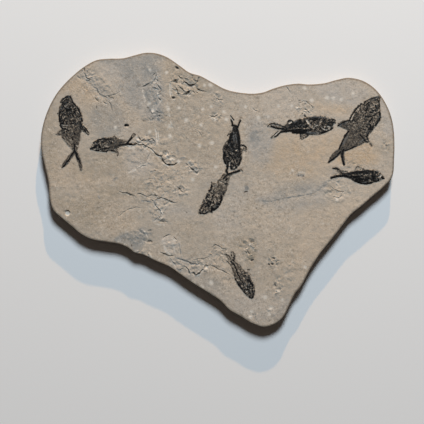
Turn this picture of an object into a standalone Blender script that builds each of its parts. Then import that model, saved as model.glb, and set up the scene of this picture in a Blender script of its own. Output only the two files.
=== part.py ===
"""Fossil fish slab: a plate of pale, fine-grained limestone with eight fossil fish in its face.

Sizes are in millimetres, and a mesh is turned into metres as it is made. The slab lies on its flat
back at z = 0 with the fossils up, and the origin is under the middle of its outline. +X runs along
the slab's long side. Every fish lies in a shallow pocket of the stone, and its bones stand a little
proud of the bedding plane.
"""

import math

import bmesh
import bpy
from mathutils import Vector

MM = 0.001
GAP = 0.3
TOUCH = 1e-6  # metres: places nearer than this are one place

# The slab: its thickness, the rounding of its rim and the slow waves of its bedding plane.
THICKNESS = 25.0
SIDE_PROFILE = ((1.5, 0.0), (0.0, 2.0), (0.0, 21.5), (1.0, 24.0), (3.5, THICKNESS))
SPAN_STEPS = 2
GRID_SPACING = 45.0
GRID_REACH = 450.0
WAVE_HEIGHT = 0.35
WAVE_LENGTHS = (210.0, 330.0)
WAVE_FADE = 45.0

# Corners of the slab's outline, anticlockwise from its right-hand end, joined by a smooth curve.
OUTLINE = (
    (421, 34), (425, 80), (425, 128), (419, 172), (403, 211), (380, 242), (351, 262), (317, 270),
    (286, 265), (256, 257), (220, 254), (193, 256), (162, 252), (134, 244), (109, 235), (80, 232),
    (44, 236), (16, 244), (-14, 260), (-40, 274), (-68, 283), (-93, 301), (-120, 319), (-148, 329),
    (-174, 330), (-200, 324), (-228, 317), (-262, 316), (-292, 312), (-320, 297), (-344, 278),
    (-366, 257), (-386, 233), (-403, 203), (-416, 170), (-424, 132), (-423, 92), (-415, 55),
    (-407, 18), (-404, -20), (-395, -49), (-374, -69), (-350, -89), (-327, -108), (-301, -120),
    (-266, -126), (-236, -131), (-215, -140), (-199, -152), (-178, -157), (-150, -171), (-114, -187),
    (-84, -208), (-53, -229), (-16, -252), (6, -267), (28, -289), (54, -304), (82, -321),
    (112, -330), (139, -322), (159, -305), (173, -278), (186, -251), (203, -229), (225, -188),
    (250, -150), (279, -114), (306, -79), (323, -58), (347, -39), (373, -16), (401, 8),
)

# The round hole worn into the lower left of the face, and the small pits: centre, radii and depth.
PITS = {
    "drilled_pit": ((-360, -55), (6.5, 7.5), 3.2),
    "crumbled_pit": ((142, -234), (11.0, 15.0), 1.0),
    "fleck_pit": ((-219, 154), (5.0, 3.0), 1.6),
}
PIT_SIDES = 14
PIT_TAPER = 0.86

# Cracks of the face: width, depth and the places that each passes through.
CRACKS = {
    "crack_left_long": (3.2, 1.8, ((-190, 112), (-174, 107), (-158, 96), (-137, 79), (-124, 65),
                                   (-112, 59), (-98, 66))),
    "crack_left_end": (2.4, 1.4, ((-76, 62), (-61, 53), (-47, 42))),
    "crack_middle": (2.2, 1.3, ((-234, -4), (-198, -14), (-187, -9), (-166, -18), (-137, -17),
                                (-98, -34))),
    "crack_middle_branch": (2.0, 1.2, ((-144, -23), (-150, -34), (-135, -56), (-156, -77))),
    "crack_lower_left": (2.2, 1.2, ((-138, -151), (-106, -157), (-93, -168), (-54, -176))),
    "crack_lower_hook": (3.0, 1.8, ((-84, -181), (-70, -190), (-63, -202), (-52, -203), (-38, -195),
                                    (-31, -183), (-22, -175))),
    "crack_corner": (2.2, 1.2, ((-339, 272), (-318, 289), (-301, 264))),
    "crack_corner_long": (2.0, 1.2, ((-297, 247), (-271, 227), (-251, 209))),
    "crack_top": (2.0, 1.1, ((-184, 245), (-172, 249), (-162, 257))),
    "crack_top_right": (1.8, 1.0, ((160, 251), (169, 245), (174, 235))),
}

# Flakes split off the face: depth, the way down to the steep edge, and the corners. Uphill, a
# flake's floor runs out just above the face.
FLAKE_RUN_OUT = 0.3
FLAKES = {
    "flake_top_upper": (1.8, (0.35, -0.94), ((-108, 299), (-92, 292), (-84, 268), (-70, 254),
                                             (-52, 254), (-40, 272), (-66, 281), (-90, 296))),
    "flake_top_lower": (1.4, (-0.2, -1.0), ((-108, 221), (-94, 229), (-80, 229), (-60, 241),
                                            (-76, 251), (-100, 246))),
    "flake_left": (1.3, (0.6, -0.8), ((-188, 125), (-168, 132), (-146, 122), (-142, 108),
                                      (-160, 101), (-178, 110))),
    "flake_lower": (1.3, (0.1, 1.0), ((-60, -186), (-40, -184), (-26, -168), (-8, -160),
                                      (-6, -170), (-24, -186), (-44, -196))),
    "flake_scar": (0.9, (-0.25, 0.97), ((102, -27), (160, -17), (214, -4), (258, 12), (262, 5),
                                        (216, -14), (158, -27))),
    "flake_right": (1.1, (0.9, -0.3), ((268, 12), (290, 8), (308, -4), (300, -14), (276, -6))),
}

# Lumps that stand up from the face: centre, radii and height.
LUMPS = {
    "lump_lower": ((-113, -131), (20.0, 23.0), 1.6),
    "lump_branch": ((-128, 116), (13.0, 8.0), 1.3),
    "lump_wisp": ((211, 187), (11.0, 7.0), 1.2),
}
LUMP_SIDES = 14

# Chips out of the rim: place, radii across and along, and turn in degrees.
CHIPS = {
    "chip_lower_left": ((-182, -158), (15, 6), 155),
    "chip_bottom": ((12, -274), (12, 5), 130),
    "chip_lower_right": ((189, -246), (10, 4), 65),
    "chip_right": ((324, -58), (13, 5), 35),
    "chip_right_end": ((392, 1), (9, 4), 40),
    "chip_corner": ((-330, 289), (11, 4), 35),
}
CHIP_DEPTH = 6.0
CHIP_SIDES = 8

# How the bones stand: the pocket's floor, and the height of a fish's edge, flank, ridge and fins.
POCKET_FLOOR = THICKNESS - 1.7
EDGE_RISE = 0.35
FLANK_RISE = 1.0
RIDGE_RISE = 1.5
FIN_RISE = 0.6
CUTTER_LIFT = 3.0

# A fish's stations from snout to fork, and the heights across it from belly to back.
STATIONS = (0.0, 0.04, 0.12, 0.22, 0.34, 0.46, 0.58, 0.70, 0.82, 0.93, 1.0)
ACROSS = ((0.0, EDGE_RISE), (0.16, FLANK_RISE), (0.50, 1.15), (0.62, RIDGE_RISE), (0.74, 1.15),
          (0.88, FLANK_RISE), (1.0, EDGE_RISE))
NOSE_SHARE = 0.45
FIN_ROOT = 0.7

# Each fish: snout and fork of the tail, the side its back is on (1 is left of the way from snout to
# tail), depths of its back and belly at the inner stations, half depth at the tail's root, the tail
# and the fins as corners (along from the snout, out towards the back).
FISH = {
    "fish_left_large": {
        "snout": (-359, 226), "fork": (-342, 93), "back_side": 1, "root": 5,
        "back": (4, 11, 18, 24, 27, 25, 19, 15, 9),
        "belly": (7, 19, 26, 28, 27, 26, 28, 20, 9),
        "tail": ((129, 5), (136, 7), (152, 11), (169, 13), (181, 10), (182, 6), (168, 4), (153, 1),
                 (141, -2), (156, -14), (168, -28), (170, -37), (162, -34), (146, -20), (134, -6),
                 (129, -5)),
        "fins": (((70, 26), (81, 35), (94, 39), (99, 36), (91, 28), (86, 20)),
                 ((74, -25), (86, -38), (91, -36), (92, -27))),
    },
    "fish_left_small": {
        "snout": (-306, 100), "fork": (-216, 114), "back_side": 1, "root": 3,
        "back": (6, 13, 18, 20, 20, 19, 17, 12, 6),
        "belly": (4, 8, 11, 12, 13, 13, 11, 7, 4),
        "tail": ((87, 3), (92, 4), (101, 10), (108, 18), (113, 18), (110, 11), (102, 5), (95, 0),
                 (106, -5), (105, -8), (96, -6), (87, -3)),
        "fins": (((56, 18), (63, 22), (69, 15)),
                 ((50, -12), (57, -18), (61, -26), (65, -25), (66, -12))),
    },
    "fish_centre_upper": {
        "snout": (37, 49), "fork": (43, 152), "back_side": -1, "root": 6,
        "back": (8, 14, 18, 19, 18, 15, 13, 10, 8),
        "belly": (9, 18, 24, 26, 25, 20, 15, 10, 7),
        "tail": ((98, 6), (104, 7), (115, 11), (124, 14), (129, 13), (123, 9), (114, 6), (106, 2),
                 (106, -2), (115, -6), (126, -10), (131, -13), (127, -14), (113, -10), (103, -7),
                 (98, -6)),
        "fins": (((63, 14), (61, 22), (57, 29), (51, 32), (45, 29), (50, 24), (52, 17)),
                 ((77, -12), (80, -18), (85, -18), (91, -9))),
    },
    "fish_centre_lower": {
        "snout": (-45, -56), "fork": (23, 38), "back_side": 1, "root": 8,
        "back": (3, 7, 9, 11, 12, 10, 8, 9, 9),
        "belly": (8, 18, 24, 29, 29, 25, 23, 18, 13),
        "tail": ((110, 7), (116, 8), (126, 11), (127, 7), (120, 1), (129, -7), (138, -14),
                 (148, -21), (146, -24), (137, -20), (127, -13), (117, -9), (110, -8)),
        "fins": (((47, 11), (64, 14), (75, 18), (80, 18), (84, 9)),),
    },
    "fish_right_middle": {
        "snout": (283, 165), "fork": (153, 148), "back_side": -1, "root": 6,
        "back": (5, 11, 16, 18, 19, 17, 15, 10, 6),
        "belly": (9, 17, 24, 27, 25, 22, 17, 12, 8),
        "tail": ((126, 6), (132, 6), (143, 11), (155, 15), (165, 12), (164, 9), (148, 4), (138, -3),
                 (150, -10), (159, -18), (157, -21), (145, -17), (134, -10), (126, -6)),
        "fins": (((117, 7), (113, 15), (108, 17), (103, 14), (96, 10)),
                 ((89, -18), (90, -30), (85, -32), (75, -29), (63, -22))),
    },
    "fish_right_large": {
        "snout": (391, 224), "fork": (296, 96), "back_side": -1, "root": 7,
        "back": (8, 18, 24, 27, 27, 23, 16, 10, 8),
        "belly": (6, 16, 28, 34, 33, 33, 34, 26, 14),
        "tail": ((154, 7), (162, 7), (176, 11), (190, 11), (204, 8), (203, 4), (184, 0), (168, -4),
                 (175, -14), (183, -23), (183, -28), (176, -25), (165, -15), (154, -8)),
        "fins": (((84, 24), (101, 34), (117, 40), (115, 30), (111, 15)),
                 ((94, -31), (98, -38), (102, -44), (108, -41), (112, -30))),
    },
    "fish_right_small": {
        "snout": (400, 28), "fork": (298, 36), "back_side": -1, "root": 4,
        "back": (8, 15, 18, 18, 16, 14, 12, 9, 6),
        "belly": (3, 8, 12, 16, 17, 16, 12, 7, 5),
        "tail": ((97, 4), (102, 6), (112, 16), (119, 18), (126, 15), (118, 13), (112, 8), (107, 2),
                 (120, -1), (129, -6), (129, -9), (113, -6), (97, -4)),
        "fins": (((49, 16), (57, 24), (65, 25), (70, 20), (71, 12)),),
    },
    "fish_bottom": {
        "snout": (85, -260), "fork": (36, -170), "back_side": -1, "root": 6,
        "back": (5, 13, 16, 18, 17, 15, 13, 10, 8),
        "belly": (3, 9, 12, 15, 16, 16, 15, 11, 9),
        "tail": ((96, 6), (101, 7), (110, 11), (119, 12), (123, 8), (116, 3), (108, 1), (113, -2),
                 (121, -3), (124, -7), (113, -9), (96, -7)),
        "fins": (((44, 17), (50, 22), (56, 22), (60, 14)),),
    },
}

# Grooves and sockets of the skull, as shares of a fish's length and of its local depth.
EYE_AT = 0.09
EYE_HEIGHT = 0.3
EYE_RADIUS = 0.022
EYE_SIDES = 10
GILL_AT = 0.2
GILL_BOW = 0.05
GROOVE_WIDTH = 1.6
GROOVE_FLOOR = 0.45

STONE_COLOUR = (0.36, 0.29, 0.22, 1.0)
BONE_COLOUR = (0.022, 0.017, 0.014, 1.0)


def clear_scene():
    for item in list(bpy.data.objects):
        bpy.data.objects.remove(item, do_unlink=True)


def material(name, colour, roughness):
    finish = bpy.data.materials.new(name)
    finish.use_nodes = True
    shader = finish.node_tree.nodes["Principled BSDF"]
    shader.inputs["Base Color"].default_value = colour
    shader.inputs["Roughness"].default_value = roughness
    shader.inputs["Metallic"].default_value = 0.0
    return finish


def smooth_loop(corners, steps):
    """Points of a closed smooth curve through the corners, with so many steps from each to the next."""
    count = len(corners)
    loop = []
    for i in range(count):
        before, start, end, after = (Vector(corners[(i + k) % count]) for k in (-1, 0, 1, 2))
        for step in range(steps):
            t = step / steps
            bend = (2 * before - 5 * start + 4 * end - after) * t * t
            twist = (3 * start - before - 3 * end + after) * t ** 3
            loop.append((2 * start + (end - before) * t + bend + twist) / 2)
    return loop


def signed_area(loop):
    pairs = zip(loop, loop[1:] + loop[:1])
    return sum(a.x * b.y - b.x * a.y for a, b in pairs) / 2


def grown(loop, distance):
    """The loop moved outwards by the distance, anticlockwise. A negative distance moves it inwards."""
    loop = [Vector(point) for point in loop]
    if signed_area(loop) < 0:
        loop.reverse()
    moved = []
    for before, point, after in zip(loop[-1:] + loop[:-1], loop, loop[1:] + loop[:1]):
        first = (point - before).normalized()
        second = (after - point).normalized()
        outward = Vector((first.y + second.y, -first.x - second.x)).normalized()
        cosine = max(outward.dot(Vector((first.y, -first.x))), 0.5)
        moved.append(point + outward * distance / cosine)
    return moved


SLAB_OUTLINE = grown(smooth_loop(OUTLINE, SPAN_STEPS), 0.0)


def rim_distance(x, y):
    """How far a place of the face is from the slab's outline."""
    place = Vector((x, y))
    nearest = math.inf
    for a, b in zip(SLAB_OUTLINE, SLAB_OUTLINE[1:] + SLAB_OUTLINE[:1]):
        along = b - a
        share = min(max((place - a).dot(along) / along.length_squared, 0.0), 1.0)
        nearest = min(nearest, (place - a - along * share).length)
    return nearest


def face_height(x, y):
    """Height of the bedding plane: slow waves that die away towards the rim."""
    short, long = (2 * math.pi / length for length in WAVE_LENGTHS)
    wave = math.sin(short * (x + 0.6 * y)) + math.sin(long * (y - 0.4 * x) + 1.0)
    fade = min(rim_distance(x, y) / WAVE_FADE, 1.0)
    return THICKNESS + WAVE_HEIGHT * wave * fade


def vertex(mesh, place, height):
    return mesh.verts.new((place[0] * MM, place[1] * MM, height * MM))


def skin(mesh, rings):
    """Joins rings of vertices, listed from the lowest up, and closes both ends."""
    for lower, upper in zip(rings, rings[1:]):
        for i in range(len(lower)):
            j = (i + 1) % len(lower)
            mesh.faces.new((lower[i], lower[j], upper[j], upper[i]))
    mesh.faces.new(tuple(reversed(rings[0])))
    mesh.faces.new(rings[-1])
    mesh.normal_update()


def finished(name, mesh, finish=None):
    """An object from a mesh. One with no finish is a cutter or a guide."""
    bmesh.ops.triangulate(mesh, faces=mesh.faces[:])
    bmesh.ops.recalc_face_normals(mesh, faces=mesh.faces[:])
    data = bpy.data.meshes.new(name)
    mesh.to_mesh(data)
    mesh.free()
    item = bpy.data.objects.new(name, data)
    bpy.context.collection.objects.link(item)
    if finish:
        data.materials.append(finish)
    else:
        item.hide_render = True
        item.display_type = "WIRE"
    return item


def prism(name, loop, floor, top):
    """A guide with upright sides over a loop, from the floor to the top."""
    mesh = bmesh.new()
    loop = grown(loop, 0.0)
    skin(mesh, [[vertex(mesh, p, floor) for p in loop], [vertex(mesh, p, top) for p in loop]])
    return finished(name, mesh)


def groove(name, places, width, depth, surface):
    """A V-shaped cutter along the places, tapering to nothing at both ends."""
    mesh = bmesh.new()
    places = [Vector(place) for place in places]
    spread = width / 2 * (depth + CUTTER_LIFT) / depth
    sections = []
    for i in range(1, len(places) - 1):
        heading = (places[i + 1] - places[i - 1]).normalized()
        side = Vector((-heading.y, heading.x)) * spread
        level = surface(*places[i])
        sections.append((vertex(mesh, places[i] + side, level + CUTTER_LIFT),
                         vertex(mesh, places[i], level - depth),
                         vertex(mesh, places[i] - side, level + CUTTER_LIFT)))
    ends = [vertex(mesh, place, surface(*place) + CUTTER_LIFT) for place in (places[0], places[-1])]
    for one, two in zip(sections, sections[1:]):
        for k in range(3):
            mesh.faces.new((one[k], one[(k + 1) % 3], two[(k + 1) % 3], two[k]))
    for end, section in zip(ends, (sections[0], sections[-1])):
        for k in range(3):
            mesh.faces.new((end, section[k], section[(k + 1) % 3]))
    return finished(name, mesh)


def combine(item, guide, operation):
    change = item.modifiers.new(guide.name, "BOOLEAN")
    change.operation = operation
    change.solver = "EXACT"
    change.object = guide


def ellipse(centre, radii, sides, turn=0.0):
    cosine, sine = math.cos(turn), math.sin(turn)
    loop = []
    for k in range(sides):
        angle = 2 * math.pi * k / sides
        x, y = radii[0] * math.cos(angle), radii[1] * math.sin(angle)
        loop.append(Vector((centre[0] + x * cosine - y * sine, centre[1] + x * sine + y * cosine)))
    return loop


def blank_slab(finish):
    """The stone before anything is cut: rounded rim, flat back and a gently waving face."""
    mesh = bmesh.new()
    rings = [[vertex(mesh, p, height) for p in grown(SLAB_OUTLINE, -inset)]
             for inset, height in SIDE_PROFILE]
    skin(mesh, rings)
    top = THICKNESS * MM - TOUCH
    reach = int(GRID_REACH / GRID_SPACING)
    for axis in (0, 1):
        for k in range(-reach, reach + 1):
            through, normal = Vector(), Vector()
            through[axis] = k * GRID_SPACING * MM
            normal[axis] = 1.0
            faces = [f for f in mesh.faces if min(v.co.z for v in f.verts) > top]
            edges = {e for f in faces for e in f.edges}
            verts = {v for f in faces for v in f.verts}
            bmesh.ops.bisect_plane(mesh, geom=[*faces, *edges, *verts], dist=TOUCH,
                                   plane_co=through, plane_no=normal)
    bmesh.ops.triangulate(mesh, faces=mesh.faces[:])
    for corner in mesh.verts:
        inner = all(min(v.co.z for v in face.verts) > top for face in corner.link_faces)
        if inner:
            corner.co.z = face_height(corner.co.x / MM, corner.co.y / MM) * MM
    return finished("slab", mesh, finish)


def flake(name, corners, depth, downhill):
    """A cutter whose sloping floor comes up to the face on the uphill side."""
    mesh = bmesh.new()
    loop = grown(corners, 0.0)
    slope = [p.dot(Vector(downhill)) for p in loop]
    share = [(s - min(slope)) / (max(slope) - min(slope)) for s in slope]
    drop = depth + FLAKE_RUN_OUT
    floor = [vertex(mesh, p, face_height(*p) + FLAKE_RUN_OUT - drop * s) for p, s in zip(loop, share)]
    top = [vertex(mesh, p, THICKNESS + CUTTER_LIFT) for p in loop]
    skin(mesh, [floor, top])
    return finished(name, mesh)


def pit(name, centre, radii, depth):
    mesh = bmesh.new()
    level = face_height(*centre)
    narrow = [r * PIT_TAPER for r in radii]
    floor = [vertex(mesh, p, level - depth) for p in ellipse(centre, narrow, PIT_SIDES)]
    lip = [vertex(mesh, p, level + CUTTER_LIFT) for p in ellipse(centre, radii, PIT_SIDES)]
    skin(mesh, [floor, lip])
    return finished(name, mesh)


def lump(name, centre, radii, height):
    mesh = bmesh.new()
    level = face_height(*centre)
    heights = ((1.0, -2.0), (1.0, -0.4), (0.75, 0.6 * height), (0.4, height))
    rings = [[vertex(mesh, p, level + rise)
              for p in ellipse(centre, [r * share for r in radii], LUMP_SIDES)]
             for share, rise in heights]
    skin(mesh, rings)
    return finished(name, mesh)


def chip(name, centre, radii, turn):
    """A scoop out of the rim, widest at the face and closing on the side below it."""
    mesh = bmesh.new()
    heights = ((0.25, -CHIP_DEPTH), (0.7, -CHIP_DEPTH / 2), (1.0, 0.5), (1.1, CUTTER_LIFT))
    rings = [[vertex(mesh, p, THICKNESS + rise)
              for p in ellipse(centre, [r * share for r in radii], CHIP_SIDES, math.radians(turn))]
             for share, rise in heights]
    skin(mesh, rings)
    return finished(name, mesh)


def fish_frame(fish):
    """Turns a place on a fish, along it and out towards its back, into a place on the slab."""
    snout, fork = Vector(fish["snout"]), Vector(fish["fork"])
    length = (fork - snout).length
    along = (fork - snout) / length
    out = Vector((-along.y, along.x)) * fish["back_side"]
    return length, lambda u, v: snout + along * u + out * v


def depths(fish):
    """Belly and back edges of the body at every station, with the nose and the tail's root."""
    back, belly, root = fish["back"], fish["belly"], fish["root"]
    backs = (back[0] * NOSE_SHARE, *back, root)
    bellies = (belly[0] * NOSE_SHARE, *belly, root)
    return [(-low, high) for low, high in zip(bellies, backs)]


def body_edge(fish):
    length, place = fish_frame(fish)
    edges = depths(fish)
    upper = [place(t * length, high) for t, (_, high) in zip(STATIONS, edges)]
    lower = [place(t * length, low) for t, (low, _) in zip(STATIONS, edges)]
    return upper + lower[::-1]


def fin_edges(fish):
    """The tail, and each fin with its root carried into the body."""
    _, place = fish_frame(fish)
    edges = [[place(u, v) for u, v in fish["tail"]]]
    for fin in fish["fins"]:
        (u_first, v_first), (u_last, v_last) = fin[0], fin[-1]
        root = ((u_last, v_last * FIN_ROOT), (u_first, v_first * FIN_ROOT))
        edges.append([place(u, v) for u, v in (*fin, *root)])
    return edges


def body(name, fish, finish):
    """A low dome with a raised backbone, on a flat underside."""
    mesh = bmesh.new()
    length, place = fish_frame(fish)
    base = POCKET_FLOOR + GAP
    rows = []
    for t, (low, high) in zip(STATIONS, depths(fish)):
        row = []
        for share, rise in ACROSS:
            p = place(t * length, low + (high - low) * share)
            row.append(vertex(mesh, p, face_height(*p) + rise))
        rows.append(row)
    for one, two in zip(rows, rows[1:]):
        for k in range(len(ACROSS) - 1):
            mesh.faces.new((one[k], one[k + 1], two[k + 1], two[k]))
    rim = [row[-1] for row in rows] + rows[-1][-2:0:-1] + [row[0] for row in rows[::-1]] + rows[0][1:-1]
    foot = [mesh.verts.new((v.co.x, v.co.y, base * MM)) for v in rim]
    for i in range(len(rim)):
        j = (i + 1) % len(rim)
        mesh.faces.new((rim[i], rim[j], foot[j], foot[i]))
    mesh.faces.new(foot)
    mesh.normal_update()
    return finished(name, mesh, finish)


def fin_guide(name, edge):
    """A fin or tail: flat under, its top following the bedding plane."""
    mesh = bmesh.new()
    loop = grown(edge, 0.0)
    foot = [vertex(mesh, p, POCKET_FLOOR + GAP) for p in loop]
    top = [vertex(mesh, p, THICKNESS) for p in loop]
    skin(mesh, [foot, top])
    bmesh.ops.triangulate(mesh, faces=mesh.faces[:])
    for corner, p in zip(top, loop):
        corner.co.z = (face_height(*p) + FIN_RISE) * MM
    return finished(name, mesh)


def skull_grooves(name, fish):
    """The eye socket, the edge of the gill cover and the mouth."""
    length, place = fish_frame(fish)
    edges = depths(fish)

    def at(t, share):
        below = max(i for i, s in enumerate(STATIONS[:-1]) if s <= t)
        mix = (t - STATIONS[below]) / (STATIONS[below + 1] - STATIONS[below])
        low, high = (a + (b - a) * mix for a, b in zip(edges[below], edges[below + 1]))
        return place(t * length, low + (high - low) * (0.5 + share / 2))

    def bone(x, y):
        return face_height(x, y) + FLANK_RISE

    eye = ellipse(at(EYE_AT, EYE_HEIGHT), [length * EYE_RADIUS] * 2, EYE_SIDES)
    level = bone(*at(EYE_AT, EYE_HEIGHT))
    yield prism(f"{name}.eye", eye, level - GROOVE_FLOOR, level + CUTTER_LIFT)
    gill = [at(GILL_AT + GILL_BOW * (1 - s * s), s * 0.8) for s in (-1, -0.6, -0.2, 0.2, 0.6, 1)]
    yield groove(f"{name}.gill", gill, GROOVE_WIDTH, GROOVE_FLOOR, bone)
    mouth = [at(t, s) for t, s in ((0.005, -0.15), (0.04, -0.2), (0.075, -0.4), (0.10, -0.5))]
    yield groove(f"{name}.mouth", mouth, GROOVE_WIDTH, GROOVE_FLOOR, bone)


def build_fish(slab, name, fish, finish):
    """One fish, and the pocket that it lies in."""
    item = body(name, fish, finish)
    for k, edge in enumerate(fin_edges(fish)):
        combine(item, fin_guide(f"{name}.fin_{k}", edge), "UNION")
    for cutter in skull_grooves(name, fish):
        combine(item, cutter, "DIFFERENCE")
    for k, edge in enumerate([body_edge(fish), *fin_edges(fish)]):
        pocket = prism(f"{name}.pocket_{k}", grown(edge, GAP), POCKET_FLOOR, THICKNESS + CUTTER_LIFT)
        combine(slab, pocket, "DIFFERENCE")


def main():
    clear_scene()
    stone = material("limestone", STONE_COLOUR, 0.85)
    bone = material("fossil_bone", BONE_COLOUR, 0.5)
    slab = blank_slab(stone)
    for name, (centre, radii, height) in LUMPS.items():
        combine(slab, lump(name, centre, radii, height), "UNION")
    for name, (depth, downhill, corners) in FLAKES.items():
        combine(slab, flake(name, corners, depth, downhill), "DIFFERENCE")
    for name, (width, depth, places) in CRACKS.items():
        combine(slab, groove(name, places, width, depth, face_height), "DIFFERENCE")
    for name, (centre, radii, depth) in PITS.items():
        combine(slab, pit(name, centre, radii, depth), "DIFFERENCE")
    for name, (centre, radii, turn) in CHIPS.items():
        combine(slab, chip(name, centre, radii, turn), "DIFFERENCE")
    for name, fish in FISH.items():
        build_fish(slab, name, fish, bone)


main()
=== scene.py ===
"""Fossil fish slab: the finish of the stone and of its eight fossil fish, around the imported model.

Sizes and places are in millimetres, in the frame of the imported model, and become metres as a mesh
is made. The slab lies on its back with the fossils up, and the camera looks down on it.
"""

import math

import bmesh
import bpy
import numpy as np
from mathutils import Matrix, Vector
from mathutils.geometry import delaunay_2d_cdt
from mathutils.kdtree import KDTree


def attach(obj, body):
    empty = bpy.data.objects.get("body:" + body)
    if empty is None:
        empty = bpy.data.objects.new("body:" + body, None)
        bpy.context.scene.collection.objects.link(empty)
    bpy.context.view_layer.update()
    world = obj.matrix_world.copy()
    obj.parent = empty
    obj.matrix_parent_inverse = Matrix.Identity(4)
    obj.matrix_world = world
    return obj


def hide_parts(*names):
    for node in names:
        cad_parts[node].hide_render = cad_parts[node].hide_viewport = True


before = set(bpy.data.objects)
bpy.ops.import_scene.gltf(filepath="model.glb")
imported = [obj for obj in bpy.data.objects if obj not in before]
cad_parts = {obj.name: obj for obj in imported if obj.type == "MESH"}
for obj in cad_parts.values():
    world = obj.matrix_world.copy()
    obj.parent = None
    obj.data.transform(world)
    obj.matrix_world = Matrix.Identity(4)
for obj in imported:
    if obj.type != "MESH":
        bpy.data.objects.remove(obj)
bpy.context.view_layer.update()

MM = 0.001
SEED = 11

# ---- The slab ----

THICKNESS = 25.0
OUTLINE = (
    (421, 34), (425, 80), (425, 128), (419, 172), (403, 211), (380, 242), (351, 262), (317, 270),
    (286, 265), (256, 257), (220, 254), (193, 256), (162, 252), (134, 244), (109, 235), (80, 232),
    (44, 236), (16, 244), (-14, 260), (-40, 274), (-68, 283), (-93, 301), (-120, 319), (-148, 329),
    (-174, 330), (-200, 324), (-228, 317), (-262, 316), (-292, 312), (-320, 297), (-344, 278),
    (-366, 257), (-386, 233), (-403, 203), (-416, 170), (-424, 132), (-423, 92), (-415, 55),
    (-407, 18), (-404, -20), (-395, -49), (-374, -69), (-350, -89), (-327, -108), (-301, -120),
    (-266, -126), (-236, -131), (-215, -140), (-199, -152), (-178, -157), (-150, -171), (-114, -187),
    (-84, -208), (-53, -229), (-16, -252), (6, -267), (28, -289), (54, -304), (82, -321),
    (112, -330), (139, -322), (159, -305), (173, -278), (186, -251), (203, -229), (225, -188),
    (250, -150), (279, -114), (306, -79), (323, -58), (347, -39), (373, -16), (401, 8),
)
# How far the side stands in from the outline at each height, from the back up to the face.
SIDE_PROFILE = ((1.8, 0.0), (0.7, 0.9), (0.25, 2.4), (0.2, 5.0), (0.3, 7.5), (0.2, 10.0), (0.35, 12.5),
                (0.2, 15.0), (0.3, 17.5), (0.15, 20.0), (0.2, 22.2), (0.5, 23.5), (0.9, 24.3),
                (1.6, 24.8), (2.8, THICKNESS))

# Steps of the stone's net: round its side, in the broken ground of its face, and elsewhere on the
# face. Rows of it run along each crack, so many widths of the crack from its middle.
SIDE_STEP = 2.4
CLOSE_STEP = 1.8
WIDE_STEP = 3.1
CRACK_ROWS = (0.0, -0.5, 0.5, -1.0, 1.0)

# Where the chips of the face begin to flatten out, and how far above that they can reach.
PROUD = 26.2
HEADROOM = 0.75

# The slow waves of the bedding plane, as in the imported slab.
WAVE_HEIGHT = 0.35
WAVE_LENGTHS = (210.0, 330.0)
WAVE_FADE = 45.0


# ---- Paths and noise ----

def smooth_path(corners, step, closed=False):
    """Points about a step apart on a smooth curve through the corners."""
    corners = np.asarray(corners, float)
    count = len(corners)
    spans = count if closed else count - 1
    points = []
    for i in range(spans):
        if closed:
            a, b, c, d = (corners[(i + k) % count] for k in (-1, 0, 1, 2))
        else:
            a, b, c, d = (corners[min(max(i + k, 0), count - 1)] for k in (-1, 0, 1, 2))
        parts = max(1, round(float(np.linalg.norm(c - b)) / step))
        for k in range(parts):
            t = k / parts
            points.append((2 * b + (c - a) * t + (2 * a - 5 * b + 4 * c - d) * t * t
                           + (3 * b - a - 3 * c + d) * t ** 3) / 2)
    if not closed:
        points.append(corners[-1])
    return np.array(points)


def inset(loop, distance):
    """An anticlockwise loop moved inwards; the distance may differ from point to point."""
    before, after = np.roll(loop, 1, axis=0), np.roll(loop, -1, axis=0)
    along = after - before
    along /= np.linalg.norm(along, axis=1)[:, None]
    inward = np.stack([-along[:, 1], along[:, 0]], axis=1)
    return loop + inward * np.reshape(distance, (-1, 1))


def path_distance(places, path, closed=False):
    """Distance of each place from the path, how far along the path it is, and its signed side."""
    path = np.asarray(path, float)
    ends = np.roll(path, -1, axis=0) if closed else path[1:]
    starts = path if closed else path[:-1]
    lengths = np.linalg.norm(ends - starts, axis=1)
    travelled = np.concatenate([[0.0], np.cumsum(lengths)[:-1]])
    best = np.full(len(places), 1e9)
    along = np.zeros(len(places))
    side = np.zeros(len(places))
    for a, b, length, start in zip(starts, ends, lengths, travelled):
        heading = (b - a) / max(length, 1e-9)
        offset = places - a
        share = np.clip(offset @ heading, 0.0, length)
        gap = offset - share[:, None] * heading
        distance = np.hypot(gap[:, 0], gap[:, 1])
        nearer = distance < best
        best[nearer] = distance[nearer]
        along[nearer] = (start + share)[nearer]
        side[nearer] = (heading[0] * offset[:, 1] - heading[1] * offset[:, 0])[nearer]
    return best, along, side


def inside(places, loop):
    """True for each place that the loop goes round."""
    x, y = places[:, 0], places[:, 1]
    within = np.zeros(len(places), bool)
    for (x0, y0), (x1, y1) in zip(loop, np.roll(loop, -1, axis=0)):
        if y0 == y1:
            continue
        crosses = ((y0 > y) != (y1 > y)) & (x < (x1 - x0) * (y - y0) / (y1 - y0) + x0)
        within ^= crosses
    return within


def depth_inside(places, loop):
    """How deep each place lies inside a loop. It is below zero outside."""
    depth = path_distance(places, loop, closed=True)[0]
    depth[~inside(places, loop)] *= -1
    return depth


def near_path(places, path, reach):
    """Which places lie in the box round a path."""
    low, high = path.min(axis=0) - reach, path.max(axis=0) + reach
    return np.nonzero(np.all((places > low) & (places < high), axis=1))[0]


def turned(places, turn):
    """Places measured along axes that are turned so many degrees."""
    c, s = math.cos(math.radians(turn)), math.sin(math.radians(turn))
    x, y = places[:, 0], places[:, 1]
    return np.stack([c * x + s * y, c * y - s * x], 1)


def blot(places, middle, radii, turn=0.0):
    """How near each place is to the middle of a tilted oval: 0 in the middle and 1 on its edge."""
    return np.hypot(*(turned(places - middle, turn) / radii).T)


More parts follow.
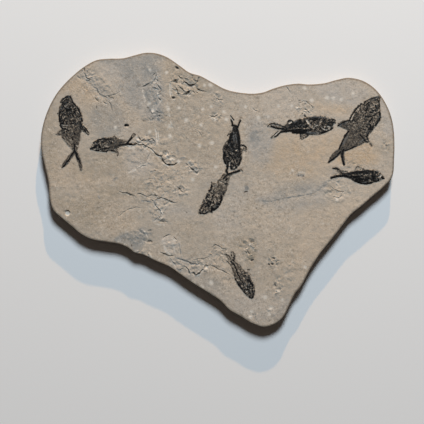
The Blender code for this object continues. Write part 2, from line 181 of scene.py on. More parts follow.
def smooth_step(value, low, high):
    t = np.clip((value - low) / (high - low), 0.0, 1.0)
    return t * t * (3 - 2 * t)


def lattice(ix, iy, seed):
    """A fixed pseudo-random number from 0 to 1 for each lattice place."""
    n = (ix * 374761393 + iy * 668265263 + seed * 974634777) & 0xFFFFFFFF
    n = ((n ^ (n >> 13)) * 1274126177) & 0xFFFFFFFF
    return ((n ^ (n >> 16)) & 0xFFFF) / 65535.0


def rough(places, size, octaves=3, seed=0):
    """Rolling noise from -1 to 1 whose largest lumps are about size across."""
    total = np.zeros(len(places))
    weight = 1.0
    scale = 0.0
    for octave in range(octaves):
        p = places / size * 2 ** octave + 37.1 * octave
        cell = np.floor(p).astype(np.int64)
        f = p - cell
        f = f * f * (3 - 2 * f)
        ix, iy = cell[:, 0], cell[:, 1]
        low = lattice(ix, iy, seed) * (1 - f[:, 0]) + lattice(ix + 1, iy, seed) * f[:, 0]
        high = lattice(ix, iy + 1, seed) * (1 - f[:, 0]) + lattice(ix + 1, iy + 1, seed) * f[:, 0]
        total += weight * (low * (1 - f[:, 1]) + high * f[:, 1])
        scale += weight
        weight *= 0.5
    return 2 * total / scale - 1


def sway(places, size, seed):
    """A step each way, from -1 to 1, that changes over about the size given."""
    return np.stack([rough(places, size, 2, seed=seed), rough(places, size, 2, seed=seed + 1)], 1)


EDGE = smooth_path(OUTLINE, 8.0, closed=True)


def bedding(places):
    """Height of the plane that the stone split along."""
    short, long = (2 * math.pi / length for length in WAVE_LENGTHS)
    x, y = places[:, 0], places[:, 1]
    wave = np.sin(short * (x + 0.6 * y)) + np.sin(long * (y - 0.4 * x) + 1.0)
    fade = np.minimum(path_distance(places, EDGE, closed=True)[0] / WAVE_FADE, 1.0)
    return THICKNESS + WAVE_HEIGHT * wave * fade


# ---- The fish: outlines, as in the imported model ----

STATIONS = (0.0, 0.04, 0.12, 0.22, 0.34, 0.46, 0.58, 0.70, 0.82, 0.93, 1.0)
NOSE_SHARE = 0.45

# snout and fork of the tail; the side the back is on; depths of back and belly; half depth at the
# tail's root; the two lobes (root, tip, bow) and the fins.
FISH = {
    "fish_left_large": {
        "snout": (-359, 226), "fork": (-342, 93), "back_side": 1, "root": 5,
        "back": (4, 11, 18, 24, 27, 25, 19, 15, 9),
        "belly": (7, 19, 26, 28, 27, 26, 28, 20, 9),
        "tail": ((129, 5), (136, 7), (152, 11), (169, 13), (181, 10), (182, 6), (168, 4), (153, 1),
                 (141, -2), (156, -14), (168, -28), (170, -37), (162, -34), (146, -20), (134, -6),
                 (129, -5)),
        "fins": (((70, 26), (81, 35), (94, 39), (99, 36), (91, 28), (86, 20)),
                 ((74, -25), (86, -38), (91, -36), (92, -27))),
    },
    "fish_left_small": {
        "snout": (-306, 100), "fork": (-216, 114), "back_side": 1, "root": 3,
        "back": (6, 13, 18, 20, 20, 19, 17, 12, 6),
        "belly": (4, 8, 11, 12, 13, 13, 11, 7, 4),
        "tail": ((87, 3), (92, 4), (101, 10), (108, 18), (113, 18), (110, 11), (102, 5), (95, 0),
                 (106, -5), (105, -8), (96, -6), (87, -3)),
        "fins": (((56, 18), (63, 22), (69, 15)),
                 ((50, -12), (57, -18), (61, -26), (65, -25), (66, -12))),
    },
    "fish_centre_upper": {
        "snout": (37, 49), "fork": (43, 152), "back_side": -1, "root": 6,
        "back": (8, 14, 18, 19, 18, 15, 13, 10, 8),
        "belly": (9, 18, 24, 26, 25, 20, 15, 10, 7),
        "tail": ((98, 6), (104, 7), (115, 11), (124, 14), (129, 13), (123, 9), (114, 6), (106, 2),
                 (106, -2), (115, -6), (126, -10), (131, -13), (127, -14), (113, -10), (103, -7),
                 (98, -6)),
        "fins": (((63, 14), (61, 22), (57, 29), (51, 32), (45, 29), (50, 24), (52, 17)),
                 ((77, -12), (80, -18), (85, -18), (91, -9))),
    },
    "fish_centre_lower": {
        "snout": (-45, -56), "fork": (23, 38), "back_side": 1, "root": 8,
        "back": (3, 7, 9, 11, 12, 10, 8, 9, 9),
        "belly": (8, 18, 24, 29, 29, 25, 23, 18, 13),
        "tail": ((110, 7), (116, 8), (126, 11), (127, 7), (120, 1), (129, -7), (138, -14),
                 (148, -21), (146, -24), (137, -20), (127, -13), (117, -9), (110, -8)),
        "fins": (((47, 11), (64, 14), (75, 18), (80, 18), (84, 9)),),
    },
    "fish_right_middle": {
        "snout": (283, 165), "fork": (153, 148), "back_side": -1, "root": 6,
        "back": (5, 11, 16, 18, 19, 17, 15, 10, 6),
        "belly": (9, 17, 24, 27, 25, 22, 17, 12, 8),
        "tail": ((126, 6), (132, 6), (143, 11), (155, 15), (165, 12), (164, 9), (148, 4), (138, -3),
                 (150, -10), (159, -18), (157, -21), (145, -17), (134, -10), (126, -6)),
        "fins": (((117, 7), (113, 15), (108, 17), (103, 14), (96, 10)),
                 ((89, -18), (90, -30), (85, -32), (75, -29), (63, -22))),
    },
    "fish_right_large": {
        "snout": (391, 224), "fork": (296, 96), "back_side": -1, "root": 7,
        "back": (8, 18, 24, 27, 27, 23, 16, 10, 8),
        "belly": (4, 13, 26, 33, 33, 33, 34, 26, 14),
        "tail": ((154, 7), (162, 7), (176, 11), (190, 11), (204, 8), (203, 4), (184, 0), (168, -4),
                 (175, -14), (183, -23), (183, -28), (176, -25), (165, -15), (154, -8)),
        "fins": (((84, 24), (101, 34), (117, 40), (115, 30), (111, 15)),
                 ((94, -31), (98, -38), (102, -44), (108, -41), (112, -30))),
    },
    "fish_right_small": {
        "snout": (400, 28), "fork": (298, 36), "back_side": -1, "root": 4,
        "back": (8, 15, 18, 18, 16, 14, 12, 9, 6),
        "belly": (3, 8, 12, 16, 17, 16, 12, 7, 5),
        "tail": ((97, 4), (102, 6), (112, 16), (119, 18), (126, 15), (118, 13), (112, 8), (107, 2),
                 (120, -1), (129, -6), (129, -9), (113, -6), (97, -4)),
        "fins": (((49, 16), (57, 24), (65, 25), (70, 20), (71, 12)),),
    },
    "fish_bottom": {
        "snout": (85, -260), "fork": (36, -170), "back_side": -1, "root": 6,
        "back": (5, 13, 16, 18, 17, 15, 13, 10, 8),
        "belly": (3, 9, 12, 15, 16, 16, 15, 11, 9),
        "tail": ((96, 6), (101, 7), (110, 11), (119, 12), (123, 8), (116, 3), (108, 1), (113, -2),
                 (121, -3), (124, -7), (113, -9), (96, -7)),
        "fins": (((44, 17), (50, 22), (56, 22), (60, 14)),),
    },
}

# Strokes on each fish by their tone: the width of each, and its course along the fish and out
# towards its back. coal is black carbon, brown a thin film of it, bare is stone, cream is pale bone
# with a few painted highlights, and the blue-grey tone is a painted sheen on the scales.
MARKS = {
    "fish_left_large": {
        "coal": (
            (3.4, (3, 4), (1, 0), (3, -6), (8, -13), (13, -19)), (3.2, (2, 5), (9, 8), (18, 10)),
            (3.2, (9, -6), (12, -11), (15, -16)), (3, (9, 1), (13, -1), (15, -4)),
            (3.6, (19, -14), (25, -13), (29, -8)), (2.6, (18, -8), (20, -6)), (2.6, (25, -3), (26, -6)),
            (3.4, (26, 4), (27, 1)), (4.2, (18, 10), (24, 14), (30, 19)), (2.8, (22, 8), (28, 11)),
            (3.4, (31, 15), (34, 10)), (3.2, (36, 16), (42, 9)), (4.4, (30, 19), (38, 22), (46, 24)),
            (3.4, (50, 25), (53, 21)), (3, (44, 18), (47, 21)), (3.2, (57, 24), (62, 26)),
            (3.6, (65, 22), (72, 22)), (3.4, (75, 20), (80, 19)), (7.6, (33, 0), (35, -6)),
            (3.4, (39, 3), (31, 4)), (3.2, (42, 3), (44, -2)), (3.6, (43, -8), (48, -5)),
            (2.8, (45, 5), (52, 7)), (3.6, (34, -14), (36, -18)), (3.2, (40, -17), (44, -13)),
            (3, (52, -12), (57, -15)), (3.6, (58, -16), (62, -19)),
            (4.2, (35, -22), (42, -26), (50, -27), (58, -27)), (3, (46, -20), (52, -23)),
            (4.6, (64, -19), (64, -25), (70, -26), (76, -22)), (3, (76, -21), (79, -13), (84, -7)),
            (3.4, (83, -13), (86, -14)), (2.8, (84, -19), (88, -19)), (2.6, (92, -17), (96, -12)),
            (3, (60, 5), (64, 7)), (2.6, (68, 3), (66, -4)), (2.4, (86, 4), (94, 4)),
            (2.8, (98, -2), (106, -2)), (3.8, (117, 2), (122, 0), (134, -1)),
            (5.2, (134, -1), (140, 3), (147, 3), (154, 6)), (3.2, (155, 7), (165, 9)),
            (4.2, (134, -2), (141, -9), (150, -15), (160, -25), (166, -31)),
            (2.6, (77, 28), (84, 33), (90, 37)), (3, (84, 29), (91, 32)), (3.4, (75, 23), (81, 26)),
            (2.6, (4, -3), (2, 2), (6, 6)), (3, (7, -6), (11, -1)),
        ),
        "brown": (
            (5, (30, 18), (40, 24), (50, 26), (60, 27), (70, 25)),
            (6, (66, -2), (80, 1), (100, 1), (118, 0)), (4.4, (156, 9), (168, 11), (180, 10)),
            (3, (139, -13), (150, -22), (161, -33)), (4, (164, -30), (169, -36)),
            (9, (79, 27), (86, 31), (94, 36)), (6, (82, 30), (90, 34), (97, 37)),
            (2, (81, -26), (85, -33), (88, -40)), (2.2, (36, -26), (40, -31)),
        ),
        "bare": (
            (1.8, (29, 16), (31, 10), (35, 5)), (2, (21, 3), (26, -1), (29, 4)),
            (1.8, (16, -6), (19, -11), (25, -10)), (2, (39, 1), (40, -6), (41, -12)),
            (2, (40, -11), (46, -10), (53, -9)), (2, (38, -19), (43, -16), (50, -13), (56, -13)),
            (1.8, (47, -19), (53, -17)), (1.8, (73, -21), (75, -12)), (1.8, (42, 8), (48, 10), (55, 9)),
            (1.8, (38, 12), (41, 17)), (1.8, (60, 14), (62, 9)), (1.8, (81, -12), (82, -18), (84, -24)),
            (1.6, (88, -16), (91, -12)), (1.6, (84, -26), (87, -33)), (1.6, (6, -8), (12, -16)),
            (1.6, (145, -13), (155, -23)),
        ),
        "cream": (
            (1.8, (67, -23), (69, -17), (71, -10)), (2, (152, -10), (160, -16)), (1.6, (118, 4), (124, 8)),
        ),
        "painted_shine": (
            (4.2, (4, 2), (7, 3)), (3, (20, -6), (24, -8)), (2.6, (46, 22), (48, 20)),
            (2.6, (57, 23), (60, 23)), (2.6, (23, -18), (30, -19)),
        ),
    },
    "fish_left_small": {
        "coal": (
            (5, (2, -1), (9, 1), (18, 4)), (5.4, (22, 6), (24, -1)), (4, (20, 12), (23, 12)),
            (4.2, (14, -7), (20, -7)), (3, (10, 12), (22, 16), (32, 18), (40, 19)),
            (3.6, (30, 12), (36, 11)), (4, (38, 15), (48, 15), (55, 13)), (3.5, (53, 7), (54, 5)),
            (3.5, (24, -6), (38, -6), (48, -6)), (3.5, (28, -11), (38, -13)), (4, (50, -13), (57, -15)),
            (3, (68, -3), (80, -3), (90, -2)), (5, (90, -1), (96, 4), (103, 10)),
            (4.5, (92, -3), (96, -5), (100, -5)), (2.5, (98, -6), (106, -7), (112, -5)),
        ),
        "brown": (
            (7, (58, -5), (75, -4), (90, -3)), (3, (102, 10), (105, 17), (110, 19), (113, 15)),
            (3.2, (57, -15), (63, -18), (65, -22), (63, -27)), (3, (57, 16), (62, 20), (68, 15)),
        ),
        "bare": (
            (2, (19, 8), (25, 7), (28, 1), (32, -3)), (2, (15, 10), (20, 9)), (2.2, (27, 13), (33, 15)),
            (2, (56, 14), (56, 5)), (1.8, (12, -4), (20, -3), (24, -9)), (1.8, (50, -9), (52, -10)),
            (1.8, (8, 7), (14, 9)), (1.8, (36, 1), (42, -2)), (1.8, (62, 14), (63, 10)),
            (2.2, (88, 1), (84, 1)),
        ),
    },
    "fish_centre_upper": {
        "coal": (
            (5.5, (104, 5), (105, -1), (106, -7)), (3.6, (103, 6), (111, 8), (120, 12)),
            (4.2, (107, -7), (112, -8), (119, -11)), (1.6, (118, -4), (124, -9), (130, -13)),
            (7, (50, 11), (62, 11), (80, 9), (98, 4)), (8, (58, -6), (66, -13), (72, -11), (86, -8)),
            (6, (42, 4), (44, -3), (50, -3), (60, -6)), (5, (5, 8), (7, 7)), (4.5, (4, -4), (6, -4)),
            (4, (11, 1), (13, -1)), (5, (21, 9), (24, 8)), (4, (30, 11), (33, 8)), (4, (36, 10), (38, 11)),
            (4, (7, -15), (13, -14), (19, -13)), (5, (14, -19), (22, -22), (30, -24), (40, -22)),
            (4, (34, -6), (37, -11), (42, -14)), (5, (47, -19), (52, -18)), (4, (27, -3), (33, -5)),
            (4, (12, 14), (26, 17)), (2.8, (60, 13), (60, 20), (58, 26), (54, 30)),
            (3, (1, -4), (6, -5), (11, -6), (16, -4)), (3, (10, 5), (13, 10)),
            (2.8, (18, -6), (23, -9), (29, -12)), (2.8, (16, 5), (19, 2), (25, 0)), (3, (26, 5), (31, 3)),
            (3, (38, 3), (42, 8), (41, 12)), (2.8, (22, -17), (30, -18), (36, -20)), (2.6, (2, 3), (4, 7)),
            (3.2, (46, -8), (52, -12), (58, -18)), (2.8, (32, 14), (38, 15), (46, 14)),
        ),
        "brown": (
            (2.6, (44, 29), (49, 26), (48, 20)), (2.6, (42, -26), (54, -25), (62, -21), (70, -17)),
            (3, (81, -18), (87, -14), (93, -10)), (4.6, (38, 17), (46, 19), (52, 18)),
            (4, (50, 19), (53, 24), (50, 28)), (4, (44, -26), (52, -25), (60, -21)),
            (3.4, (14, 15), (26, 19), (38, 18)),
        ),
        "bare": (
            (2.2, (1, 1), (3, 3)), (1.6, (7, 4), (10, 8)), (1.8, (16, 8), (20, 5), (27, 7)),
            (1.6, (25, 9), (27, 13)), (1.8, (33, 5), (38, 7)), (1.8, (30, 14), (35, 12)),
            (1.6, (27, -6), (31, -12), (35, -17)), (1.6, (40, -8), (44, -14), (48, -20)),
            (1.6, (35, -2), (39, -9)), (1.6, (52, -9), (58, -15)), (2, (46, 17), (50, 15)),
            (1.8, (19, -11), (24, -13)), (1.6, (20, -3), (25, -4)), (1.6, (9, -1), (12, -3)),
        ),
        "cream": (
            (2.8, (5, -9), (11, -8), (17, -9)), (1.8, (46, 3), (48, 8)),
            # The cream stroke at (121, 13) is a painted highlight on the tip of the tail's upper lobe.
            (2, (115, -5), (122, -10), (128, -15)), (3, (121, 13), (124, 13)),
        ),
        "painted_shine": (
            (3, (64, 5), (74, 4), (84, 1)), (3, (70, -2), (80, -3), (90, -3)), (3, (42, -6), (48, -1)),
            (3, (57, -12), (62, -11)), (3, (94, -5), (98, -6)),
        ),
    },
    "fish_centre_lower": {
        "coal": (
            (3.4, (3, -4), (8, -12), (13, -15)), (3.5, (13, 3), (18, 3)), (3.5, (22, 3), (27, 3)),
            (3.5, (9, -4), (13, -4)), (3.5, (21, -4), (24, -4)), (5, (31, -2), (29, -7), (27, -11)),
            (3.4, (33, -10), (38, -7), (38, -1)), (5.5, (30, -17), (27, -22), (33, -26), (40, -28)),
            (5, (21, -22), (26, -20)), (6, (43, -21), (47, -27)), (6, (53, -26), (60, -24), (65, -20)),
            (4, (44, -12), (40, -17)), (4.5, (41, 8), (46, 8)), (3.5, (51, 5), (50, 11)),
            (5, (59, 11), (63, 9)), (5.5, (68, 12), (72, 13)), (3.5, (51, -2), (57, -3)),
            (3, (71, -21), (76, -20)), (4.5, (95, -10), (97, -12)), (3.2, (102, 1), (110, 0), (117, -1)),
            (4, (103, -6), (108, -6)), (5.2, (119, 1), (122, 6), (128, 8), (134, 9)),
            (5.2, (117, -3), (126, -8), (133, -14), (140, -18)),
        ),
        "brown": (
            (3.4, (0, -1), (4, -5)), (3.6, (13, -15), (21, -18)), (4, (8, 4), (20, 4), (32, 6)),
            (4.5, (75, 15), (79, 18)), (4, (90, 8), (100, 6), (112, 7)),
            (3.2, (140, -18), (146, -20), (145, -25)),
        ),
        "bare": (
            (2, (34, -14), (40, -12)), (2, (33, -22), (38, -24)), (1.6, (41, -20), (48, -16)),
            (3.6, (89, 4), (92, 0), (93, -7)), (1.6, (40, 4), (44, 2)), (2, (26, -13), (31, -13)),
            (2.6, (102, 5), (108, 4)), (2.6, (100, -8), (103, -3)),
        ),
        "painted_shine": ((4, (76, 6), (82, 6)), (3, (9, -10), (14, -12)), (3, (38, -22), (42, -24))),
    },
    "fish_right_middle": {
        "coal": (
            (4, (4, -2), (10, -2), (17, -1)), (3, (0, 1), (3, 5), (9, 7)), (5.5, (26, 7), (29, 2)),
            (4.5, (38, 9), (48, 11), (60, 13)), (4, (12, -8), (20, -6)),
            (4.2, (9, -15), (16, -18), (24, -21), (34, -23)), (5, (34, -11), (39, -14)),
            (6, (52, 16), (40, 15)), (5.5, (60, -12), (72, -11), (90, -9), (108, -8), (119, -8)),
            (8, (84, 13), (82, 7), (92, 8)), (8, (96, 5), (108, 3)), (5, (69, -2), (72, -3)),
            (5, (85, -3), (89, -2)), (8, (74, -17), (90, -15), (104, -12)), (5, (70, 10), (74, 7)),
            (4.6, (122, -5), (132, 0), (142, 2), (153, 8)), (2.4, (124, 4), (136, 9), (150, 14), (161, 12)),
            (5, (120, -8), (134, -9), (142, -14), (149, -17)), (1.6, (139, -5), (149, -12), (158, -19)),
            (2.6, (101, 12), (105, 16), (110, 17), (113, 13)),
        ),
        "brown": ((4, (67, -23), (75, -28), (84, -31), (87, -27)), (3, (85, -33), (88, -30))),
        "cream": (
            (4.6, (68, 11), (65, 5), (62, -1)), (2.6, (14, -12), (20, -10), (28, -9)),
            (2.4, (16, -16), (24, -18), (30, -15), (35, -11)), (2.6, (43, -2), (49, -6), (52, -10)),
            (3, (3, -6), (6, -11)), (4, (106, 12), (110, 10)), (2.8, (136, -6), (145, -12), (154, -18)),
        ),
        "bare": (
            (4, (62, 0), (60, -5), (56, -10)),
            (2.4, (60, -9), (75, -8), (92, -5), (110, -5), (119, -3), (126, 2)),
            (5, (74, 23), (77, 15), (79, 11)), (2.4, (33, 5), (36, 1), (38, -4)), (2.6, (57, 8), (62, 10)),
            (2.4, (40, 4), (46, 6), (52, 4)), (2, (54, 0), (56, -6)),
        ),
        "painted_shine": (
            (3.6, (14, 9), (28, 13), (44, 17), (58, 18)), (4, (94, 12), (100, 11)),
            (3.6, (130, 4), (141, 8), (152, 11)), (5, (46, -23), (56, -22), (70, -18)),
        ),
    },
    "fish_right_large": {
        "coal": (
            (3, (2, 3), (8, 8), (16, 14), (25, 20), (34, 24)),
            (3.4, (40, 26), (50, 28), (62, 29), (76, 28), (90, 26)), (4, (90, 26), (100, 34), (116, 40)),
            (3.4, (78, 20), (88, 20)), (5, (31, -20), (38, -27), (48, -31)), (4, (50, -30), (62, -31)),
            (3.6, (66, -28), (76, -29)), (3.2, (11, 2), (13, -5), (20, -12)), (4, (12, 5), (14, 4)),
            (3.6, (27, 14), (38, 16)), (3.6, (39, 9), (48, 8)), (3.2, (60, 1), (56, -5), (52, -10)),
            (4, (42, -6), (45, -3)), (3.4, (31, -12), (35, -8), (38, -3)), (3.4, (39, -16), (46, -14)),
            (3.6, (52, -14), (64, -15)), (4.6, (69, -21), (75, -25), (80, -24)), (3.6, (24, -3), (28, -8)),
            (3, (102, -15), (105, -28)), (3, (97, -32), (102, -39)), (2.6, (107, -30), (106, -39)),
            (3.4, (84, -28), (96, -30)), (3.2, (132, -22), (144, -16), (155, -9)),
            (4, (112, 12), (125, 12), (140, 9), (150, 7), (159, 5)),
            (4.4, (163, -2), (175, -1), (186, 1), (199, 6)),
            (5, (155, -5), (166, -9), (174, -17), (183, -27)),
        ),
        "brown": (
            (3.4, (27, -17), (44, -30), (60, -32), (80, -31), (96, -30)),
            (3.4, (111, -33), (125, -26), (140, -18)), (5, (150, 0), (160, 2), (172, 7), (188, 8)),
        ),
        # This cream line along the back is a painted sheen.
        "cream": ((1.8, (51, 24), (65, 26), (80, 25), (87, 24)),),
        "bare": (
            (2.4, (8, 1), (12, -8), (18, -15)), (2.6, (16, 9), (22, 12), (30, 11)),
            (2.2, (44, -11), (52, -5)), (2.2, (42, -23), (48, -20), (58, -21)),
            (2.2, (20, 2), (28, 0), (34, 3)), (2, (34, -4), (38, -12)), (2, (46, 18), (50, 12), (56, 14)),
            (2, (84, -19), (92, -24)), (2.4, (102, -34), (104, -40)),
        ),
        "painted_shine": (
            (4.6, (99, 29), (108, 34), (114, 37)), (3, (4, 4), (10, 8)), (3.2, (22, 17), (27, 19)),
            (4, (122, 7), (136, 5), (148, 4)), (4, (38, -27), (48, -27)), (4, (108, -28), (118, -26)),
        ),
    },
    "fish_right_small": {
        "coal": (
            (4.2, (1, 0), (8, 2), (16, 4)), (3, (10, 8), (16, 2)), (8, (22, 4), (28, 3), (27, -3)),
            (5, (13, -4), (18, -8), (24, -7)), (5, (28, 14), (40, 15), (48, 14)),
            (6.5, (50, 12), (60, 10), (70, 9), (80, 6), (88, 4)), (5, (42, 10), (50, 7)),
            (4, (36, -3), (46, -6), (60, -5)), (6, (60, -2), (74, -3)), (5, (80, -4), (90, -2), (100, -1)),
            (4.5, (98, 4), (104, 5)), (5, (100, -2), (110, -3), (119, -6), (127, -9)),
            (3.6, (110, 13), (116, 16), (124, 14)), (5, (30, -13), (45, -16), (58, -14), (69, -11)),
            (6, (58, -9), (66, -8)),
        ),
        "brown": ((2.8, (49, 17), (58, 22), (66, 24), (70, 19)), (4, (90, 9), (100, 10), (110, 10))),
        "cream": ((4, (8, 6), (12, 1)), (3.4, (3, -4), (9, -5))),
        "bare": (
            (2.4, (30, 10), (37, 7), (46, 4)), (2.2, (40, 6), (52, 7), (60, 4), (76, 2), (90, 0)),
            (2.2, (33, 3), (36, -1)), (2.4, (28, 17), (40, 19)), (2.6, (32, -9), (34, -4)),
            (2.2, (48, -1), (56, -1)), (4, (60, 19), (64, 18)), (3, (86, 8), (98, 9)),
            (2.6, (15, 2), (20, 9)),
        ),
        "painted_shine": (
            (3, (35, -6), (37, -7)), (4, (4, 11), (10, 15), (20, 16)), (4, (17, -5), (22, -6)),
            (3, (42, -13), (52, -14)),
        ),
    },
    "fish_bottom": {
        "coal": (
            (3.3, (7, 4), (3, 1), (2, -2), (7, -6)), (3.1, (12, 0), (18, 0)), (3.1, (11, 6), (17, 8)),
            (5.1, (28, 15), (36, 14), (45, 12)), (4.7, (28, 8), (30, 2)),
            (3.9, (22, 2), (27, -3), (28, -8)), (4.3, (31, -12), (40, -13), (46, -14)),
            (3.1, (48, 9), (40, 9)), (3.1, (52, -13), (54, -14)), (3.4, (59, -15), (61, -15)),
            (2.8, (40, -3), (50, -3)), (3.1, (20, -10), (26, -12)),
            (3.1, (52, -5), (60, -4), (70, -4), (80, -2), (90, -1), (98, -2)), (3.9, (100, 3), (104, 2)),
            (3.9, (101, -3), (104, -4)), (2.8, (107, 7), (109, 7)), (2.5, (114, 4), (116, 4)),
            (3.1, (56, 12), (58, 5)),
        ),
        "brown": (
            (3.2, (58, 19), (66, 14), (74, 11), (84, 10), (92, 5), (99, 3)),
            (2.6, (72, -8), (85, -9), (98, -9), (110, -12)), (4, (104, 6), (112, 11), (120, 11), (121, 8)),
            (4, (107, -1), (118, -2), (124, -7)), (4, (76, 4), (80, 4)),
        ),
        "cream": (
            (2.4, (6, -2), (7, -3)), (2.4, (21, -5), (23, -6)), (2.4, (30, -1), (31, -2)),
            (2.6, (55, -11), (57, -11)),
        ),
        "bare": ((2.4, (46, 6), (50, 12)), (2.6, (36, 3), (42, 8)), (2.6, (24, 4), (20, 7))),
        "painted_shine": ((3.5, (36, -3), (40, 0)), (3.5, (32, 6), (35, 8)), (3, (14, 3), (19, 3))),
    },
}

# How dark each fish's film is: share of the body's length, darkness on the back's side of the spine
# and on the belly's side; how strong its light and its black scratches are, and how much of them its
# rear keeps; its fine specks; and how dark the fins and the tail are.
FILM = {
    "fish_left_large": {
        "dark": ((0, .58, .58), (.35, .58, .62), (.55, .56, .60), (.65, .56, .48), (.78, .54, .40),
                 (1, .45, .32)),
        "light": .50, "rear": .35, "black": .55, "specks": .2, "fins": .40, "tail": .45},
    "fish_left_small": {
        "dark": ((0, .50, .50), (.4, .59, .55), (.7, .57, .53), (1, .50, .52)),
        "light": .42, "rear": .2, "black": .42, "specks": .2, "fins": .3, "tail": .3},
    "fish_centre_upper": {
        "dark": ((0, .56, .56), (.4, .75, .71), (.6, .95, .9), (1, .95, .95)),
        "light": .60, "rear": .6, "black": .80, "specks": .2, "fins": .2, "tail": .15},
    "fish_centre_lower": {
        "dark": ((0, .47, .51), (.4, .43, .47), (.6, .42, .44), (.8, .37, .37), (1, .34, .34)),
        "light": .28, "rear": .25, "black": .26, "specks": .4, "fins": .4, "tail": .35},
    "fish_right_middle": {
        "dark": ((0, .61, .61), (.4, .76, .72), (.6, .91, .88), (1, .86, .91)),
        "light": .55, "rear": .7, "black": .75, "specks": .15, "fins": .42, "tail": .25},
    "fish_right_large": {
        "dark": ((0, .50, .50), (.4, .51, .53), (.7, .48, .48), (1, .50, .50)),
        "light": .24, "rear": .3, "black": .30, "specks": .25, "fins": .52, "tail": .55},
    "fish_right_small": {
        "dark": ((0, .46, .48), (.3, .74, .72), (.6, .92, .92), (1, .84, .88)),
        "light": .40, "rear": .5, "black": .8, "specks": .2, "fins": .12, "tail": .4},
    "fish_bottom": {
        "dark": ((0, .54, .54), (.4, .60, .60), (.55, .54, .56), (.65, .38, .38), (1, .32, .30)),
        "light": .50, "rear": .3, "black": .55, "specks": .4, "fins": .3, "tail": .25},
}

# How much film is left where it is scratched, how dark the haze round a fish and its brown strokes
# are, and how far film spreads from a fish over the stone.
SCRATCHED = 0.28
HAZE = 0.15
BROWN_ON_FISH = 0.52
HAZE_REACH = 8

# The scratches of the film: their length and width, and the three ways that they run.
SCRATCH_SIZE = (4.4, 1.8)
SCRATCH_TURNS = (-55, 0, 60)


def fish_axes(fish):
    """Where a fish's snout lies on the slab, and its headings to its tail and to its back."""
    snout, fork = np.array(fish["snout"], float), np.array(fish["fork"], float)
    along = (fork - snout) / np.linalg.norm(fork - snout)
    return snout, along, np.array([-along[1], along[0]]) * fish["back_side"]


def on_slab(fish, points):
    """Turns places on a fish, along it from the snout and out towards its back, into slab places."""
    snout, along, out = fish_axes(fish)
    points = np.asarray(points, float)
    return snout + points[..., :1] * along + points[..., 1:] * out


def on_fish(fish, places):
    """Turns slab places into places on a fish."""
    snout, along, out = fish_axes(fish)
    return np.stack([(places - snout) @ along, (places - snout) @ out], 1)


def body_length(fish):
    return float(np.hypot(*(np.subtract(fish["fork"], fish["snout"]))))


def edge_curves(fish, t):
    """Belly and back edge of the body at each share t of its length, as smooth curves."""
    low = (fish["belly"][0] * NOSE_SHARE, *fish["belly"], fish["root"])
    high = (fish["back"][0] * NOSE_SHARE, *fish["back"], fish["root"])
    curves = []
    for depths in (low, high):
        path = smooth_path(np.stack([np.array(STATIONS) * 100, depths], axis=1), 1.0)
        curves.append(np.interp(t, path[:, 0] / 100, path[:, 1]))
    return -curves[0], curves[1]


def fish_loops(fish):
    """The loops of a fish, in its own places: its body, its tail and its fins."""
    t = np.linspace(0, 1, 41)
    length = body_length(fish)
    low, high = edge_curves(fish, t)
    body = np.concatenate([np.stack([t * length, high], 1), np.stack([t * length, low], 1)[::-1]])
    loops = [("body", body), ("tail", np.array(fish["tail"], float))]
    for fin in fish["fins"]:
        (u0, v0), (u1, v1) = fin[0], fin[-1]
        loops.append(("fin", np.array((*fin, (u1, v1 * 0.7), (u0, v0 * 0.7)), float)))
    return loops


SILHOUETTES = {}
for fish_name, fish_form in FISH.items():
    SILHOUETTES[fish_name] = [on_slab(fish_form, loop) for _, loop in fish_loops(fish_form)]


def fish_margin(places):
    """Distance outside the nearest fish. It is below zero inside one."""
    margin = np.full(len(places), 60.0)
    for loops in SILHOUETTES.values():
        near = near_path(places, np.concatenate(loops), 40)
        for loop in loops:
            margin[near] = np.minimum(margin[near], -depth_inside(places[near], loop))
    return margin
